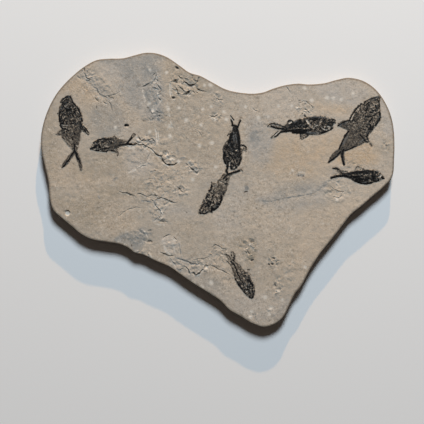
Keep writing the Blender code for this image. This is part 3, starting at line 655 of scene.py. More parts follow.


# ---- What breaks and colours the face of the stone ----

# Cracks: width, depth, how much lower the ground is on the right of its course, how pale its
# chipped lips are, and the places of its course. The deeper a crack, the darker it is painted, with
# dirt and painted shade.
CRACKS = (
    (2.6, 1.6, 0.9, .5, (-219, 112), (-212, 109), (-203, 110), (-196, 113), (-190, 109), (-180, 109),
     (-174, 107), (-166, 102), (-158, 98), (-154, 94), (-149, 88), (-144, 83), (-138, 82), (-134, 77)),
    (3.8, 1.9, 1.2, .7, (-136, 80), (-132, 72), (-127, 66), (-122, 61), (-114, 60), (-106, 60), (-100, 63),
     (-95, 67)),
    (3.2, 1.5, 0.8, .6, (-69, 58), (-63, 51), (-57, 46), (-50, 41), (-47, 44), (-44, 48)),
    (2.8, 1.4, 0.4, .4, (-76, 63), (-71, 61)),
    (2.4, 1.3, 0.7, .3, (-238, -4), (-220, -7), (-208, -12), (-196, -15)),
    (2.2, 1.1, 0.5, .3, (-196, -14), (-188, -9), (-178, -12), (-168, -17), (-162, -18)),
    (2.2, 1, 0.4, .3, (-168, -17), (-160, -13), (-148, -13), (-140, -15)),
    (1.8, 0.9, 0.3, .2, (-162, -18), (-157, -25), (-150, -28)),
    (2.6, 1.3, 0.7, .3, (-152, -27), (-143, -21), (-133, -19), (-125, -22), (-114, -27), (-107, -30),
     (-97, -32)),
    (2.2, 0.9, 0.6, .5, (-146, -24), (-151, -30), (-148, -38), (-142, -44), (-138, -50), (-135, -57),
     (-139, -65), (-146, -70), (-157, -75)),
    (2.4, 1.3, 0.5, .2, (-140, -150), (-131, -152), (-122, -156), (-112, -158), (-103, -157)),
    (2.4, 0.9, 0.5, .2, (-100, -162), (-88, -167), (-75, -171), (-62, -176), (-48, -178), (-38, -174)),
    (3.4, 1.9, 1, .6, (-82, -183), (-76, -185), (-71, -190), (-68, -197), (-64, -204)),
    (3.2, 1.9, 1, .6, (-64, -203), (-62, -200), (-57, -200), (-52, -204), (-46, -201), (-40, -198),
     (-38, -193), (-32, -190)),
    (2.4, 1.4, 0.6, .6, (-33, -189), (-30, -182), (-25, -179)),
    (2, 1, 0.4, .2, (-318, 262), (-310, 263), (-302, 263)),
    (2.6, 1.4, 0.7, .3, (-321, 281), (-315, 272), (-309, 267), (-300, 263)),
    (2.4, 0.9, 0.6, .2, (-300, 248), (-290, 242), (-288, 237), (-281, 229), (-271, 224), (-262, 219)),
    (1.8, 0.9, 0.3, .2, (-294, 222), (-289, 214), (-284, 211)),
    (2.8, 1, 0.4, .2, (-276, 213), (-270, 208), (-263, 207)),
    (2.2, 1, 0.4, .2, (-264, 213), (-257, 207), (-254, 196), (-253, 188)),
    (1.2, 0.7, 0.2, .1, (-271, 225), (-258, 226), (-245, 230), (-236, 235), (-231, 240)),
    (2.2, 1.1, 0.4, .3, (-338, 275), (-333, 270), (-327, 265)),
    (2.4, 1.4, 0.4, .3, (-183, 246), (-176, 249), (-168, 254), (-160, 257)),
    (1.6, 1, 0.4, .5, (-160, 257), (-152, 262), (-148, 271), (-146, 282)),
    (1.8, 1.1, 0.3, .4, (-158, 271), (-153, 277), (-147, 285)),
    (1.6, 1.1, 0.3, .4, (-149, 262), (-146, 254), (-141, 248), (-136, 243), (-137, 236), (-145, 231)),
    (3, 1.4, 0.5, .5, (-144, 222), (-139, 218), (-134, 214)),
    (3.8, 1.9, 0.6, .4, (-103, 297), (-97, 293), (-92, 289)),
    (2.8, 1.3, 0.8, .3, (-96, 276), (-90, 271), (-83, 265)),
    (4.2, 1.9, 1.2, .5, (-83, 262), (-77, 258), (-70, 254), (-64, 251), (-57, 253), (-50, 255)),
    (3, 1.6, 0.8, .3, (-51, 255), (-48, 262), (-45, 268), (-41, 274)),
    (2.4, 1.3, 0.5, .2, (-58, 267), (-53, 262), (-46, 260)), (2.2, 1, 0.4, .2, (-64, 279), (-57, 272)),
    (3, 1.3, 0.7, .4, (-96, 251), (-90, 246), (-84, 241), (-79, 238)),
    (2.4, 1.2, 0.6, .4, (-101, 227), (-94, 232), (-86, 229)),
    (4.2, 1.9, 1.1, .6, (-84, 229), (-80, 229), (-74, 232), (-68, 236), (-61, 240)),
    (2.8, 1.5, 0.5, .4, (-60, 239), (-54, 233)), (2.6, 1.4, 0.5, .3, (-53, 235), (-46, 233)),
    (4.2, 1.9, 0.8, .7, (-111, 224), (-106, 221), (-100, 222)),
    (2, 1.1, 0.5, .2, (-51, 250), (-50, 244), (-44, 240), (-36, 238), (-25, 235)),
    (1.8, 1.2, 0.5, .5, (-69, 226), (-62, 232)), (1.8, 1, 0.5, .5, (-88, 264), (-86, 256), (-82, 250)),
    (2.6, 1.4, 0.5, .6, (-21, 180), (-14, 176), (-8, 176), (-3, 178), (3, 181)),
    (2, 1.1, 0.3, .5, (-4, 220), (0, 219), (4, 216), (10, 217)),
    (1.6, 0.9, 0.3, .1, (82, 197), (90, 191), (98, 190)),
    (1.6, 0.8, 0.2, .1, (40, 239), (46, 230), (46, 212)),
    (1.4, 0.9, 0.2, .1, (-50, 146), (-43, 138), (-38, 125)),
    (3.2, 1.5, 0.5, .6, (-172, 112), (-168, 117), (-163, 121), (-157, 123), (-153, 118), (-147, 113)),
    (2.4, 1.3, 0.4, .6, (-191, 128), (-188, 123), (-182, 119), (-176, 121)),
    (1.6, 0.8, 0.4, .7, (-193, 50), (-185, 55), (-175, 59), (-166, 60)),
    (1.6, 0.8, 0.4, .5, (-172, 66), (-166, 80), (-160, 92)),
    (1.4, 0.8, 0.4, .9, (-148, 150), (-145, 135), (-143, 118), (-141, 108)),
    (1.4, 0.7, 0.4, .9, (-113, 260), (-113, 246), (-112, 232), (-108, 217)),
    (2.6, 1.2, 0.3, .3, (-99, 9), (-92, 3), (-86, -4), (-79, -8)),
    (2.4, 1.2, 0.3, .2, (-97, -3), (-91, 4), (-88, 13)),
    (1.6, 0.6, 0.2, .1, (-242, -66), (-222, -52), (-205, -44), (-195, -42), (-180, -44)),
    (1.6, 0.7, 0.2, .1, (-182, -26), (-170, -27), (-158, -28)),
    (2.4, 1, 0.3, .3, (-141, -75), (-130, -74), (-119, -77)),
    (2.4, 1.2, 0.4, .3, (-133, -117), (-122, -110), (-111, -107)),
    (2.4, 1.2, 0.4, .3, (-107, -112), (-101, -116), (-96, -122)),
    (1.6, 0.7, 0.4, .3, (-96, -122), (-92, -135), (-90, -150), (-88, -160)),
    (1.8, 0.7, 0.3, .5, (-118, -160), (-108, -172), (-98, -184)),
    (2.2, 1, 0.4, .2, (-22, -179), (-8, -184), (2, -190), (12, -194), (22, -200), (31, -203)),
    (1.6, 0.9, 0.3, .1, (-62, -169), (-46, -166), (-31, -164), (-20, -160)),
    (2.6, 1.1, 0.4, .2, (-12, -141), (-6, -132), (3, -135), (12, -140), (22, -143)),
    (2.4, 1.1, 0.4, .2, (12, -157), (20, -155), (28, -159)),
    (3.4, 1.5, 0.8, .6, (-181, -152), (-176, -159), (-170, -168)),
    (3, 1.3, 0.6, .6, (-203, -153), (-196, -150), (-189, -147)),
    (2.6, 1.2, 0.4, .4, (-196, -158), (-188, -153), (-183, -158)),
    (2.6, 1.1, 0.3, .3, (70, -146), (78, -156), (86, -158)),
    (1.8, 1, 0.3, .2, (158, 252), (166, 247), (171, 239), (176, 233)),
    (1.8, 0.9, 0.3, .5, (192, 211), (198, 209), (203, 211), (206, 214), (212, 213), (218, 209), (223, 204),
     (228, 198), (231, 192)),
    (2.2, 1.2, 0.4, .6, (205, 197), (209, 194), (214, 192), (218, 188), (222, 183)),
    (1.6, 0.8, 0.2, .4, (204, 190), (206, 188), (211, 187), (215, 184)),
    (2.4, 0.2, 0.2, .1, (100, -27), (130, -27), (147, -23), (168, -19), (204, -13), (228, -8), (242, -1),
     (256, 7)),
    (1.6, 0.8, 0.3, .2, (268, 12), (280, 2), (296, -4), (310, -2)),
    (2, 0.9, 0.3, .2, (276, -16), (290, -18), (302, -12)),
)

# Ground that has broken away in chips: middle, radii, and how steep its chips lie.
FLAKED = (
    ((-78, 252), (40, 38), .58), ((-150, 238), (20, 58), .35), ((-152, 178), (30, 24), .5),
    ((-172, 118), (32, 20), .62), ((-118, 76), (28, 20), .55), ((-60, 54), (24, 18), .55),
    ((-128, 32), (62, 44), .30), ((-90, 0), (26, 18), .45), ((-150, -14), (60, 26), .32),
    ((-145, -48), (24, 40), .36), ((-290, 248), (46, 36), .28), ((-312, 280), (26, 16), .5),
    ((-186, -154), (26, 14), .6), ((-185, -114), (36, 24), .35), ((-113, -134), (24, 27), .28),
    ((-75, -182), (44, 22), .42), ((-35, -186), (24, 20), .5), ((10, -160), (42, 34), .35),
    ((50, -200), (54, 46), .2), ((76, -142), (22, 36), .38), ((133, -172), (22, 16), .45),
    ((146, -234), (16, 26), .42), ((212, 192), (26, 18), .45), ((285, 5), (44, 32), .3),
    ((320, 62), (34, 14), .3), ((0, 217), (18, 16), .45), ((-5, 176), (22, 11), .5),
    ((402, 104), (16, 26), .3), ((-60, 150), (84, 70), .14), ((100, 130), (44, 60), .14),
    ((-250, -14), (66, 30), .12), ((-210, 75), (40, 50), .18), ((85, -303), (18, 12), .3),
    ((128, -291), (16, 14), .3), ((180, -190), (26, 30), .24),
)
CHIP_SIZES = (12.0, 5.5)

# Pits and lumps: middle, radii, turn in degrees, and depth, which is below zero for a lump.
DENTS = (
    ((-219, 154), (5, 3), 0, 1.8), ((-101, 261), (5, 4), 0, 1.0), ((70, 2), (5, 7), 0, 0.6),
    ((134, -164), (4, 3), 20, 0.9), ((132, -177), (3, 3), 0, 0.9), ((123, -178), (3, 2.5), 0, 0.9),
    ((142, -179), (3, 2.5), 0, 0.9), ((82, -168), (5, 4), 30, 0.9), ((64, -128), (4, 4), 0, 0.7),
    ((56, -137), (5, 3), -35, 0.6), ((17, -213), (5, 5), 0, 0.6), ((-163, -98), (4, 3), 0, 0.7),
    ((-163, -124), (6, 5), 10, 1.0), ((-181, -102), (6, 4), -45, 1.2), ((138, -228), (9, 5), 60, 1.1),
    ((368, 108), (5, 8), 25, 0.5), ((404, 110), (5, 7), 0, 0.4), ((-113, -132), (21, 25), 15, -0.7),
    ((-128, 116), (12, 8), 0, -1.0), ((146, -238), (9, 12), 0, -0.9), ((80, -132), (6, 5), 0, -0.3),
    ((205, 186), (8, 5), 30, -0.8), ((285, -22), (20, 9), -10, -0.9), ((-2, 228), (7, 9), 0, -0.5),
    ((-118, 84), (6, 5), 30, -1.1), ((-110, 73), (7, 5), 0, -1.1), ((-84, 77), (9, 5), 0, -0.6),
    ((-66, 252), (9, 6), -30, 0.9), ((-70, 243), (6, 3), -45, -1.1), ((-62, 66), (8, 5), -30, -0.9),
    ((-160, 114), (10, 6), 0, 0.9), ((-190, 118), (6, 4), -45, -1.2), ((-187, 100), (9, 5), 0, -0.7),
    ((-348, -20), (9, 6), 0, 0.35), ((-260, 30), (13, 8), 20, 0.35), ((330, -30), (12, 8), 0, 0.3),
    ((40, -60), (14, 9), 0, 0.3), ((-165, 290), (7, 5), 0, -0.5), ((-145, 268), (4, 6), 0, -0.7),
)

# The drilled pit near the lower left rim, with its pale floor.
DRILLED_PIT = ((-360, -55), (6.5, 7.5), 3.2)

# Tinted patches with a ragged edge, by their tint: strength, how soft the edge is, and the corners.
PATCHES = {
    "slate": (
        (.95, 7, (-262, -123), (-242, -115), (-226, -102), (-205, -98), (-190, -93), (-176, -91),
         (-160, -96), (-158, -107), (-166, -118), (-178, -127), (-186, -142), (-200, -151), (-216, -138),
         (-240, -128)),
        (.7, 12, (-300, 316), (-262, 300), (-235, 280), (-232, 250), (-215, 215), (-190, 190), (-176, 196),
         (-178, 250), (-150, 262), (-141, 285), (-140, 326), (-200, 330), (-250, 320)),
        (.84, 12, (-236, 312), (-230, 270), (-206, 268), (-196, 300), (-210, 322)),
        (.62, 14, (-306, 180), (-290, 206), (-262, 214), (-238, 206), (-220, 170), (-235, 138),
         (-284, 134)),
        (.92, 9, (-180, 300), (-180, 240), (-172, 205), (-158, 180), (-134, 165), (-130, 215), (-133, 245),
         (-141, 262), (-141, 300)),
        (1.3, 4, (-178, 246), (-174, 214), (-162, 200), (-144, 212), (-136, 244), (-146, 258), (-158, 254)),
        (.56, 9, (94, -20), (126, -18), (138, 2), (170, 15), (206, 19), (244, 16), (264, 20), (266, 4),
         (236, -7), (200, -17), (160, -27), (120, -36), (94, -34)),
        (.36, 9, (126, -26), (160, -24), (204, -16), (208, -26), (254, -26), (260, -46), (200, -52),
         (136, -48)),
        (.95, 3, (64, 2), (66, 7), (72, 8), (75, 3), (74, -3), (69, -5), (65, -2)),
        (1, 7, (78, 142), (76, 118), (94, 112), (102, 128), (94, 144)),
        (.34, 12, (72, 168), (66, 120), (76, 84), (100, 62), (124, 74), (132, 110), (122, 150), (100, 170)),
        (.6, 8, (-332, 288), (-312, 280), (-280, 256), (-250, 222), (-248, 200), (-268, 206), (-296, 240),
         (-326, 266)),
        (.55, 8, (-104, -158), (-80, -162), (-48, -172), (-40, -180), (-66, -182), (-92, -180)),
        (.45, 10, (-92, -190), (-60, -206), (-20, -200), (10, -214), (10, -246), (-30, -236), (-70, -216)),
        (.34, 8, (146, -312), (172, -278), (186, -250), (174, -252), (156, -276), (134, -300)),
    ),
    "chalk": (
        (.6, 5, (208, -15), (222, -12), (244, -4), (252, -9), (238, -19), (214, -22)),
        (.8, 8, (-138, -122), (-128, -113), (-114, -110), (-103, -115), (-98, -128), (-100, -152),
         (-112, -156), (-122, -148), (-130, -132)),
        # This broad patch makes the stone paler towards the right and the bottom.
        (.38, 40, (56, 236), (60, 176), (140, 140), (146, 60), (100, 16), (96, -60), (110, -110),
         (140, -180), (180, -240), (240, -160), (320, -60), (400, 10), (424, 120), (400, 215), (320, 268),
         (200, 256)),
        (.8, 12, (232, 212), (240, 190), (300, 172), (316, 186), (300, 206), (262, 214)),
        (.4, 22, (100, 236), (96, 196), (140, 176), (190, 190), (200, 230), (150, 246)),
        (.35, 16, (200, 130), (170, 84), (230, 66), (286, 110), (280, 134)),
        (.3, 20, (-130, 50), (-70, 50), (-50, 0), (-90, -20), (-140, 10)),
        (.42, 18, (0, -20), (50, -10), (62, -60), (50, -112), (8, -112), (-8, -60)),
        (.26, 26, (176, 124), (262, 110), (272, 20), (220, -20), (168, 20)),
        (.28, 22, (50, -36), (96, -50), (102, -142), (60, -152), (40, -100)),
    ),
    "ash": (
        (.75, 12, (236, 252), (250, 222), (290, 206), (340, 214), (352, 240), (330, 262), (290, 264)),
        (.7, 12, (-214, 96), (-216, 50), (-196, 30), (-168, 36), (-150, 54), (-160, 84), (-180, 100)),
        (.75, 8, (388, 232), (410, 200), (424, 160), (420, 136), (404, 130), (394, 160), (391, 200)),
        (.8, 12, (72, 168), (66, 120), (76, 84), (100, 62), (124, 74), (132, 110), (122, 150), (100, 170)),
        (.7, 22, (-290, 300), (-236, 240), (-214, 200), (-140, 170), (-140, 320), (-240, 322)),
        (.6, 24, (60, -250), (140, -252), (180, -262), (150, -316), (80, -318), (30, -290), (-20, -250),
         (-60, -222), (0, -226)),
        (.65, 8, (-138, -122), (-128, -113), (-114, -110), (-103, -115), (-96, -124), (-92, -150),
         (-96, -158), (-110, -158), (-119, -150), (-130, -132)),
        (.62, 8, (-124, -160), (-110, -164), (-92, -182), (-84, -196), (-96, -194), (-112, -180)),
        (.5, 14, (-140, -24), (-100, -34), (-60, -48), (-50, -62), (-90, -66), (-128, -54)),
        (.5, 22, (0, 10), (50, 26), (80, 0), (60, -50), (44, -100), (8, -100), (-10, -50)),
        (.55, 9, (90, -22), (150, -8), (216, 12), (262, 16), (250, -34), (200, -46), (130, -42)),
        (.35, 22, (110, 238), (120, 180), (170, 180), (220, 215), (210, 250), (150, 250)),
        (.3, 22, (-20, -236), (30, -250), (80, -280), (140, -290), (130, -318), (60, -300)),
        (.35, 18, (-280, 130), (-230, 150), (-190, 140), (-200, 112), (-250, 122)),
    ),
    "olive": (
        (.62, 9, (374, 112), (392, 106), (406, 122), (416, 110), (410, 94), (394, 88), (376, 98)),
        (.34, 24, (-122, 222), (-50, 214), (0, 180), (10, 120), (-20, 70), (-80, 80), (-128, 130)),
        (.75, 10, (-110, 300), (-112, 222), (-60, 222), (-20, 236), (-40, 272), (-84, 290)),
        (.5, 10, (-140, 326), (-140, 262), (-116, 262), (-106, 300), (-124, 318)),
        (.68, 22, (-412, 60), (-400, 0), (-330, -20), (-240, 20), (-150, 10), (-160, -10), (-240, -30),
         (-300, -100), (-390, -60)),
        (.18, 16, (-90, -70), (-30, -90), (0, -130), (-40, -160), (-84, -140)),
        (.9, 8, (40, -118), (70, -112), (92, -124), (96, -168), (78, -190), (66, -150), (46, -138)),
        (.6, 8, (392, 120), (410, 112), (412, 88), (394, 92)),
        (.55, 8, (258, 14), (280, 12), (300, -4), (276, -16), (262, -4)),
        (.15, 14, (-120, 60), (-60, 40), (-50, 10), (-100, -16), (-150, 0), (-150, 40)),
        (.6, 8, (196, 216), (212, 222), (226, 204), (222, 190), (200, 192)),
        (.3, 20, (120, -120), (180, -100), (190, -200), (150, -250), (110, -200)),
        (.56, 24, (-330, 92), (-240, 88), (-226, 40), (-290, 20), (-340, 40)),
        (.62, 20, (-420, 180), (-388, 200), (-384, 90), (-400, 40), (-420, 80)),
        (.35, 14, (-310, -116), (-250, -112), (-230, -122), (-300, -128)),
        (.55, 8, (-178, 190), (-172, 136), (-150, 128), (-124, 132), (-112, 152), (-122, 178), (-145, 192)),
        (.34, 30, (-190, 110), (-104, 112), (-90, 60), (-96, -10), (-150, -30), (-186, 20)),
    ),
    "ochre": (
        (1.1, 12, (286, 68), (300, 104), (330, 122), (368, 110), (386, 84), (374, 62), (330, 54)),
        (.72, 30, (120, 60), (150, 120), (240, 134), (300, 130), (300, 90), (260, 40), (180, 30)),
        (.75, 12, (230, 206), (250, 188), (300, 180), (316, 190), (300, 204), (260, 208)),
        (.65, 14, (-380, 234), (-344, 270), (-318, 262), (-300, 240), (-322, 214), (-344, 232)),
        (.4, 12, (-322, 250), (-296, 240), (-278, 222), (-300, 206), (-330, 216)),
        (.28, 26, (210, -30), (300, -40), (330, -40), (250, -150), (200, -220), (160, -180), (190, -100)),
        (.3, 20, (-400, 90), (-330, 60), (-300, 20), (-360, 10), (-404, 30)),
        (.25, 20, (-310, -20), (-250, -60), (-200, -70), (-230, -96), (-300, -90)),
    ),
}

# Small pale specks in three sizes: most are specks that the cleaning tool left, and those on lumps
# and beside cracks are painted highlights.
PALE_SPECKS = (
    (-162, 288), (-75, 168), (-43, 107), (-31, 252), (-18, 252), (15, 188), (-15, 201), (-14, 113),
    (-40, 156), (68, 200), (-118, 194), (146, 202), (178, 202), (263, 222), (278, 220), (297, 217),
    (210, 244), (79, -305), (125, -298), (128, -283), (82, -292), (156, -263), (114, -257), (210, -184),
    (-5, 55), (-114, 130), (-92, 197), (-35, 195), (21, 170), (-6, 170), (-60, -222), (-15, -222),
    (-163, 208), (-190, 118), (-120, 82), (-111, 73), (-68, 67), (-155, 191), (-38, -233), (-122, 282),
    (98, 174), (226, 215), (-245, 150), (326, 232), (-60, 25), (180, 47), (-163, 140), (-115, 152),
    (122, 176), (-94, 68), (286, -23),
)
PALE_SPECK_SIZES = (4.8, 6.2, 5.4)

# Streaks and smudges on the stone by their tone: the width and the course of each. slate is a
# broken grey one, and stain a solid one. A few of them are painted light and shade, as noted where
# they stand.
SMUDGES = {
    "cream": (
        (5, (-196, 127), (-190, 119), (-183, 112)), (5, (-212, 103), (-199, 100)),
        (3.6, (-76, 249), (-66, 239)), (6, (-121, 204), (-119, 190)), (4, (-14, 172), (-3, 169)),
        (3, (-175, 98), (-166, 92)), (4, (-145, 132), (-142, 112)), (3, (-70, 226), (-62, 233)),
        (7.5, (79, -132), (83, -134)), (4, (-33, -193), (-25, -186)),
        (6, (-130, -120), (-124, -144), (-114, -154)), (4, (-112, -116), (-100, -122)),
        (3, (-108, -124), (-102, -152)), (5, (-122, 86), (-116, 81)), (5, (-113, 75), (-104, 74)),
        (4, (-198, -152), (-188, -156)), (3, (-150, -38), (-143, -33)),
        (3, (-136, -45), (-131, -60), (-136, -70)), (2.6, (207, 191), (211, 191)),
        (2.2, (210, 197), (215, 195), (220, 193)), (3.4, (190, 195), (194, 200)),
        (2.2, (206, 211), (212, 210), (217, 205)), (3.4, (223, 218), (226, 215)),
        (2.4, (222, 199), (227, 193)), (3.6, (-222, 149), (-214, 148)), (3.6, (140, -241), (150, -244)),
        (5, (-213, 43), (-197, 48)), (3, (-192, 54), (-184, 59), (-168, 64)), (4, (-70, 68), (-60, 62)),
        (3.4, (-183, -95), (-174, -101), (-168, -114)), (3, (-150, -82), (-128, -84)),
        (3, (-164, -150), (-158, -164)), (3, (-147, 273), (-145, 264)),
        (3, (-240, -124), (-226, -129), (-214, -137)),
        (2.4, (-180, 242), (-177, 226), (-173, 212), (-168, 204), (-164, 194)),
        (2.6, (-134, 216), (-140, 207), (-146, 198)), (3, (-146, 238), (-142, 228), (-138, 224)),
        (2.4, (-145, 273), (-146, 262), (-152, 256)), (3, (-113, 262), (-113, 230)),
        (4, (-160, 196), (-150, 190), (-146, 200)), (1.8, (63, 6), (67, 12), (74, 12), (78, 6)),
        # The stroke from (194, 42) to (208, 42) is a painted highlight above the grey spot at (200, 35).
        (2, (-120, 213), (-118, 190), (-113, 168), (-108, 148)), (2.6, (194, 42), (202, 44), (208, 42)),
        (2, (-290, 228), (-283, 218)), (2, (-262, 219), (-255, 214)),
    ),
    "coal": (
        (4.4, (209, 179), (211, 176)), (2.8, (67, -4), (71, -4)), (1.1, (-248, 24), (-243, 27)),
        (4, (81, -169), (85, -167)), (3.4, (133, -163), (136, -164)), (4.4, (131, -177), (133, -178)),
        (3.2, (122, -178), (124, -179)), (4.6, (-222, 155), (-215, 155)), (3.8, (74, -191), (77, -190)),
    ),
    "brown": (
        (2.2, (209, 207), (213, 207), (215, 204), (212, 202), (209, 204)), (2.4, (194, 214), (199, 215)),
        (3.4, (204, 184), (202, 181)), (4.5, (194, 35), (206, 34)),
        (2.4, (-350, 88), (-363, 72), (-378, 54)), (2, (-350, 66), (-342, 60), (-336, 53)),
        (3.4, (94, -44), (97, -46)), (5, (-185, -98), (-177, -105)), (4.6, (72, -146), (82, -157)),
        (5, (76, -124), (86, -124)), (4, (-165, -98), (-160, -97)), (7, (-166, -124), (-159, -124)),
        (4, (141, -179), (143, -180)), (6, (366, 112), (370, 104)), (6, (403, 113), (405, 107)),
        (4, (62, -127), (66, -129)), (4, (54, -136), (60, -139)), (4, (-96, 4), (-88, 2)),
        (4.6, (-146, 188), (-139, 185)), (4, (-139, 178), (-133, 171)), (3.6, (-128, 180), (-123, 178)),
        (4, (-137, 231), (-131, 226)), (3.4, (-320, 293), (-319, 286)), (3, (-313, 287), (-312, 284)),
        (2.6, (-290, 204), (-290, 196)), (3, (-262, 225), (-250, 220)), (3, (-267, 221), (-258, 214)),
        (3.4, (-293, 221), (-285, 213)), (3, (136, -226), (141, -230)), (3, (-80, -50), (-72, -56)),
        (3, (-345, -47), (-342, -45)), (5, (-104, 262), (-98, 258)), (3.6, (-190, 127), (-186, 122)),
        (3.6, (-181, 119), (-176, 121)), (3, (-140, -75), (-120, -77)), (4, (-168, 198), (-162, 190)),
        (3, (-207, -131), (-206, -135)), (4, (-182, -117), (-178, -120)), (4, (-178, 166), (-166, 168)),
    ),
    "slate": (
        (4, (-147, -24), (-152, -30), (-148, -38), (-142, -44), (-138, -50), (-135, -57), (-139, -65),
         (-146, -70), (-157, -75)),
        (5, (-100, -162), (-88, -167), (-75, -171), (-62, -176), (-48, -178)), (5, (-90, 76), (-80, 78)),
        (4.2, (100, -27), (115, -28), (130, -27)), (4, (136, -26), (147, -23), (158, -22)),
        (4.2, (168, -18), (186, -16)), (4, (192, -15), (204, -13), (216, -11), (227, -8)),
        (2.4, (174, 7), (190, 10)), (4.4, (234, -3), (246, 1), (256, 7)),
        (6, (-72, 252), (-66, 246), (-58, 250)), (4, (-106, 37), (-95, 47)),
        (8, (-166, 114), (-158, 117), (-150, 113)), (6, (-194, 261), (-188, 258)),
        # The stroke from (-91, -128) to (-88, -152) is painted shadow along the pale fragment's right edge.
        (4, (-115, -166), (-104, -178)), (3, (-91, -128), (-88, -152)), (5, (80, 128), (92, 127)),
        (4, (-182, -26), (-158, -28)), (3.4, (-60, 52), (-50, 46)), (4, (-99, 104), (-94, 88)),
        (5, (-137, 30), (-128, 22)), (5, (-60, -186), (-30, -196)),
    ),
    "stain": (
        (11, (70, 5), (70, -1)), (8, (193, 36), (206, 35)), (5.5, (-249, 24), (-242, 29)),
        (5, (-285, -15), (-283, -20)),
    ),
}

# Every tone that a stroke can have, and the step of its course.
TONES = ("coal", "brown", "bare", "cream", "painted_shine", "slate", "stain")
STROKE_STEP = 1.2

# The stone's natural swells, by size and height, and its finer ripple.
SWELLS = ((60.0, 0.35), (18.0, 0.35))
RIPPLE = (7.5, 0.34)

# How low the face lies round a fish and how far out that reaches, and how low it lies under one.
FISH_HOLLOW = 0.25
HOLLOW_REACH = 9.0
FISH_BED = 0.9

# How dark brown strokes and stains are on the stone, and how deep dark strokes are worn.
BROWN_ON_STONE = 0.42
STAIN_FILM = 0.14
STROKE_DEPTH = 0.5

# How strong each of these is on the stone: grey strokes, the dirt and painted shade at the feet of
# chips, the lime and painted highlights of pale specks and of cream strokes, the lime of the pit's
# floor, and the painted highlight on the brows of chips.
SLATE_STROKE = 0.9
DIRT_AND_SHADE_AT_FEET = 0.40
SPECK_PALE_AND_HIGHLIGHT = 0.85
CREAM_PALE_AND_HIGHLIGHT = 0.75
FLOOR_LIME = 0.8
BROW_HIGHLIGHT = 0.45


def patches(places):
    """How strongly each tint lies on each place, by patches with ragged edges."""
    tints = {tint: np.zeros(len(places)) for tint in PATCHES}
    ragged = 9.0 * rough(places, 30.0, 4, seed=31) + 4.0 * rough(places, 9.0, 2, seed=32)
    uneven = 0.75 + 0.5 * rough(places, 16.0, 3, seed=33)
    for tint, areas in PATCHES.items():
        for strength, soft, *corners in areas:
            loop = smooth_path(corners, 8.0, closed=True)
            near = near_path(places, loop, soft + 14)
            depth = depth_inside(places[near], loop) + ragged[near]
            cover = strength * smooth_step(depth, -soft, soft) * uneven[near]
            tints[tint][near] = np.maximum(tints[tint][near], cover)
    return tints


def draw(places, marks, seed):
    """How strongly each tone is drawn at each place, by strokes with slightly ragged edges."""
    tones = {tone: np.zeros(len(places)) for tone in TONES}
    moved = places + 0.8 * sway(places, 7.0, seed)
    for tone, strokes in marks.items():
        for width, *corners in strokes:
            path = smooth_path(corners, STROKE_STEP)
            near = near_path(moved, path, width + 2)
            if len(near):
                distance = path_distance(moved[near], path)[0]
                strength = 1 - smooth_step(distance / (width / 2), 0.55, 1.25)
                tones[tone][near] = np.maximum(tones[tone][near], strength)
    return tones


def streaks(places, size, seed):
    """Noise from -1 to 1 in short strokes, whose heading changes from place to place."""
    choice = 1.6 * rough(places, 2.2 * size[0], 2, seed=seed)
    total, weight = np.zeros(len(places)), np.zeros(len(places))
    for k, turn in enumerate(SCRATCH_TURNS):
        share = np.exp(-((choice - 0.5 * (k - 1)) / 0.22) ** 2) + 1e-6
        total += share * rough(turned(places, turn) / size, 1.0, 1, seed=seed + 1 + k)
        weight += share
    return total / weight


def crack_path(k):
    """The k-th crack's course, with small steps from side to side."""
    path = smooth_path(CRACKS[k][4:], 1.6)
    return path + 1.1 * sway(path + 9.0 * k, 5.0, 6)


def cracks_at(places):
    """Depth of the cracks, how dark each place is with their dirt and painted shade, and how pale their
    lips are.
    """
    sink, dark, pale = (np.zeros(len(places)) for _ in range(3))
    for k, (width, depth, drop, lips, *_) in enumerate(CRACKS):
        path = crack_path(k)
        near = near_path(places, path, 30)
        distance, along, side = path_distance(places[near], path)
        length = float(np.sum(np.linalg.norm(np.diff(path, axis=0), axis=1)))
        ends = np.minimum(along, length - along)
        taper = np.clip(ends / min(8.0, 0.3 * length), 0.0, 1.0) ** 0.7
        run = np.stack([along, 0 * along + 50 * k], 1)
        half = width / 2 * taper * (0.95 + 0.75 * rough(run, 8.0, 2, seed=5)) + 0.05
        sink[near] += depth * taper * np.clip(1.1 - distance / half, 0, 1)
        fade = np.exp(-(distance / 8.0) ** 1.5) * smooth_step(ends, 0.0, min(14.0, 0.5 * length))
        sink[near] += drop * np.where(side < 0, fade, -0.45 * fade * (distance > half))
        # Deeper cracks are painted darker: dirt and painted shade.
        dirt_and_shade = min(max((depth - 0.6) / 1.2, 0.08), 1.0) * (0.8 + 0.6 * rough(run, 6.0, 2, seed=8))
        shade = np.clip(dirt_and_shade, 0, 1) * taper * (1 - smooth_step(distance / half, 0.5, 1.4))
        dark[near] = np.maximum(dark[near], shade)
        chipped = np.clip(2 * rough(places[near], 6.0, 2, seed=40 + k) + 0.5, 0, 1)
        lip = lips * taper * np.exp(-((distance - half - 1.4) / 1.6) ** 2) * chipped
        pale[near] = np.maximum(pale[near], lip)
    return sink, dark, pale


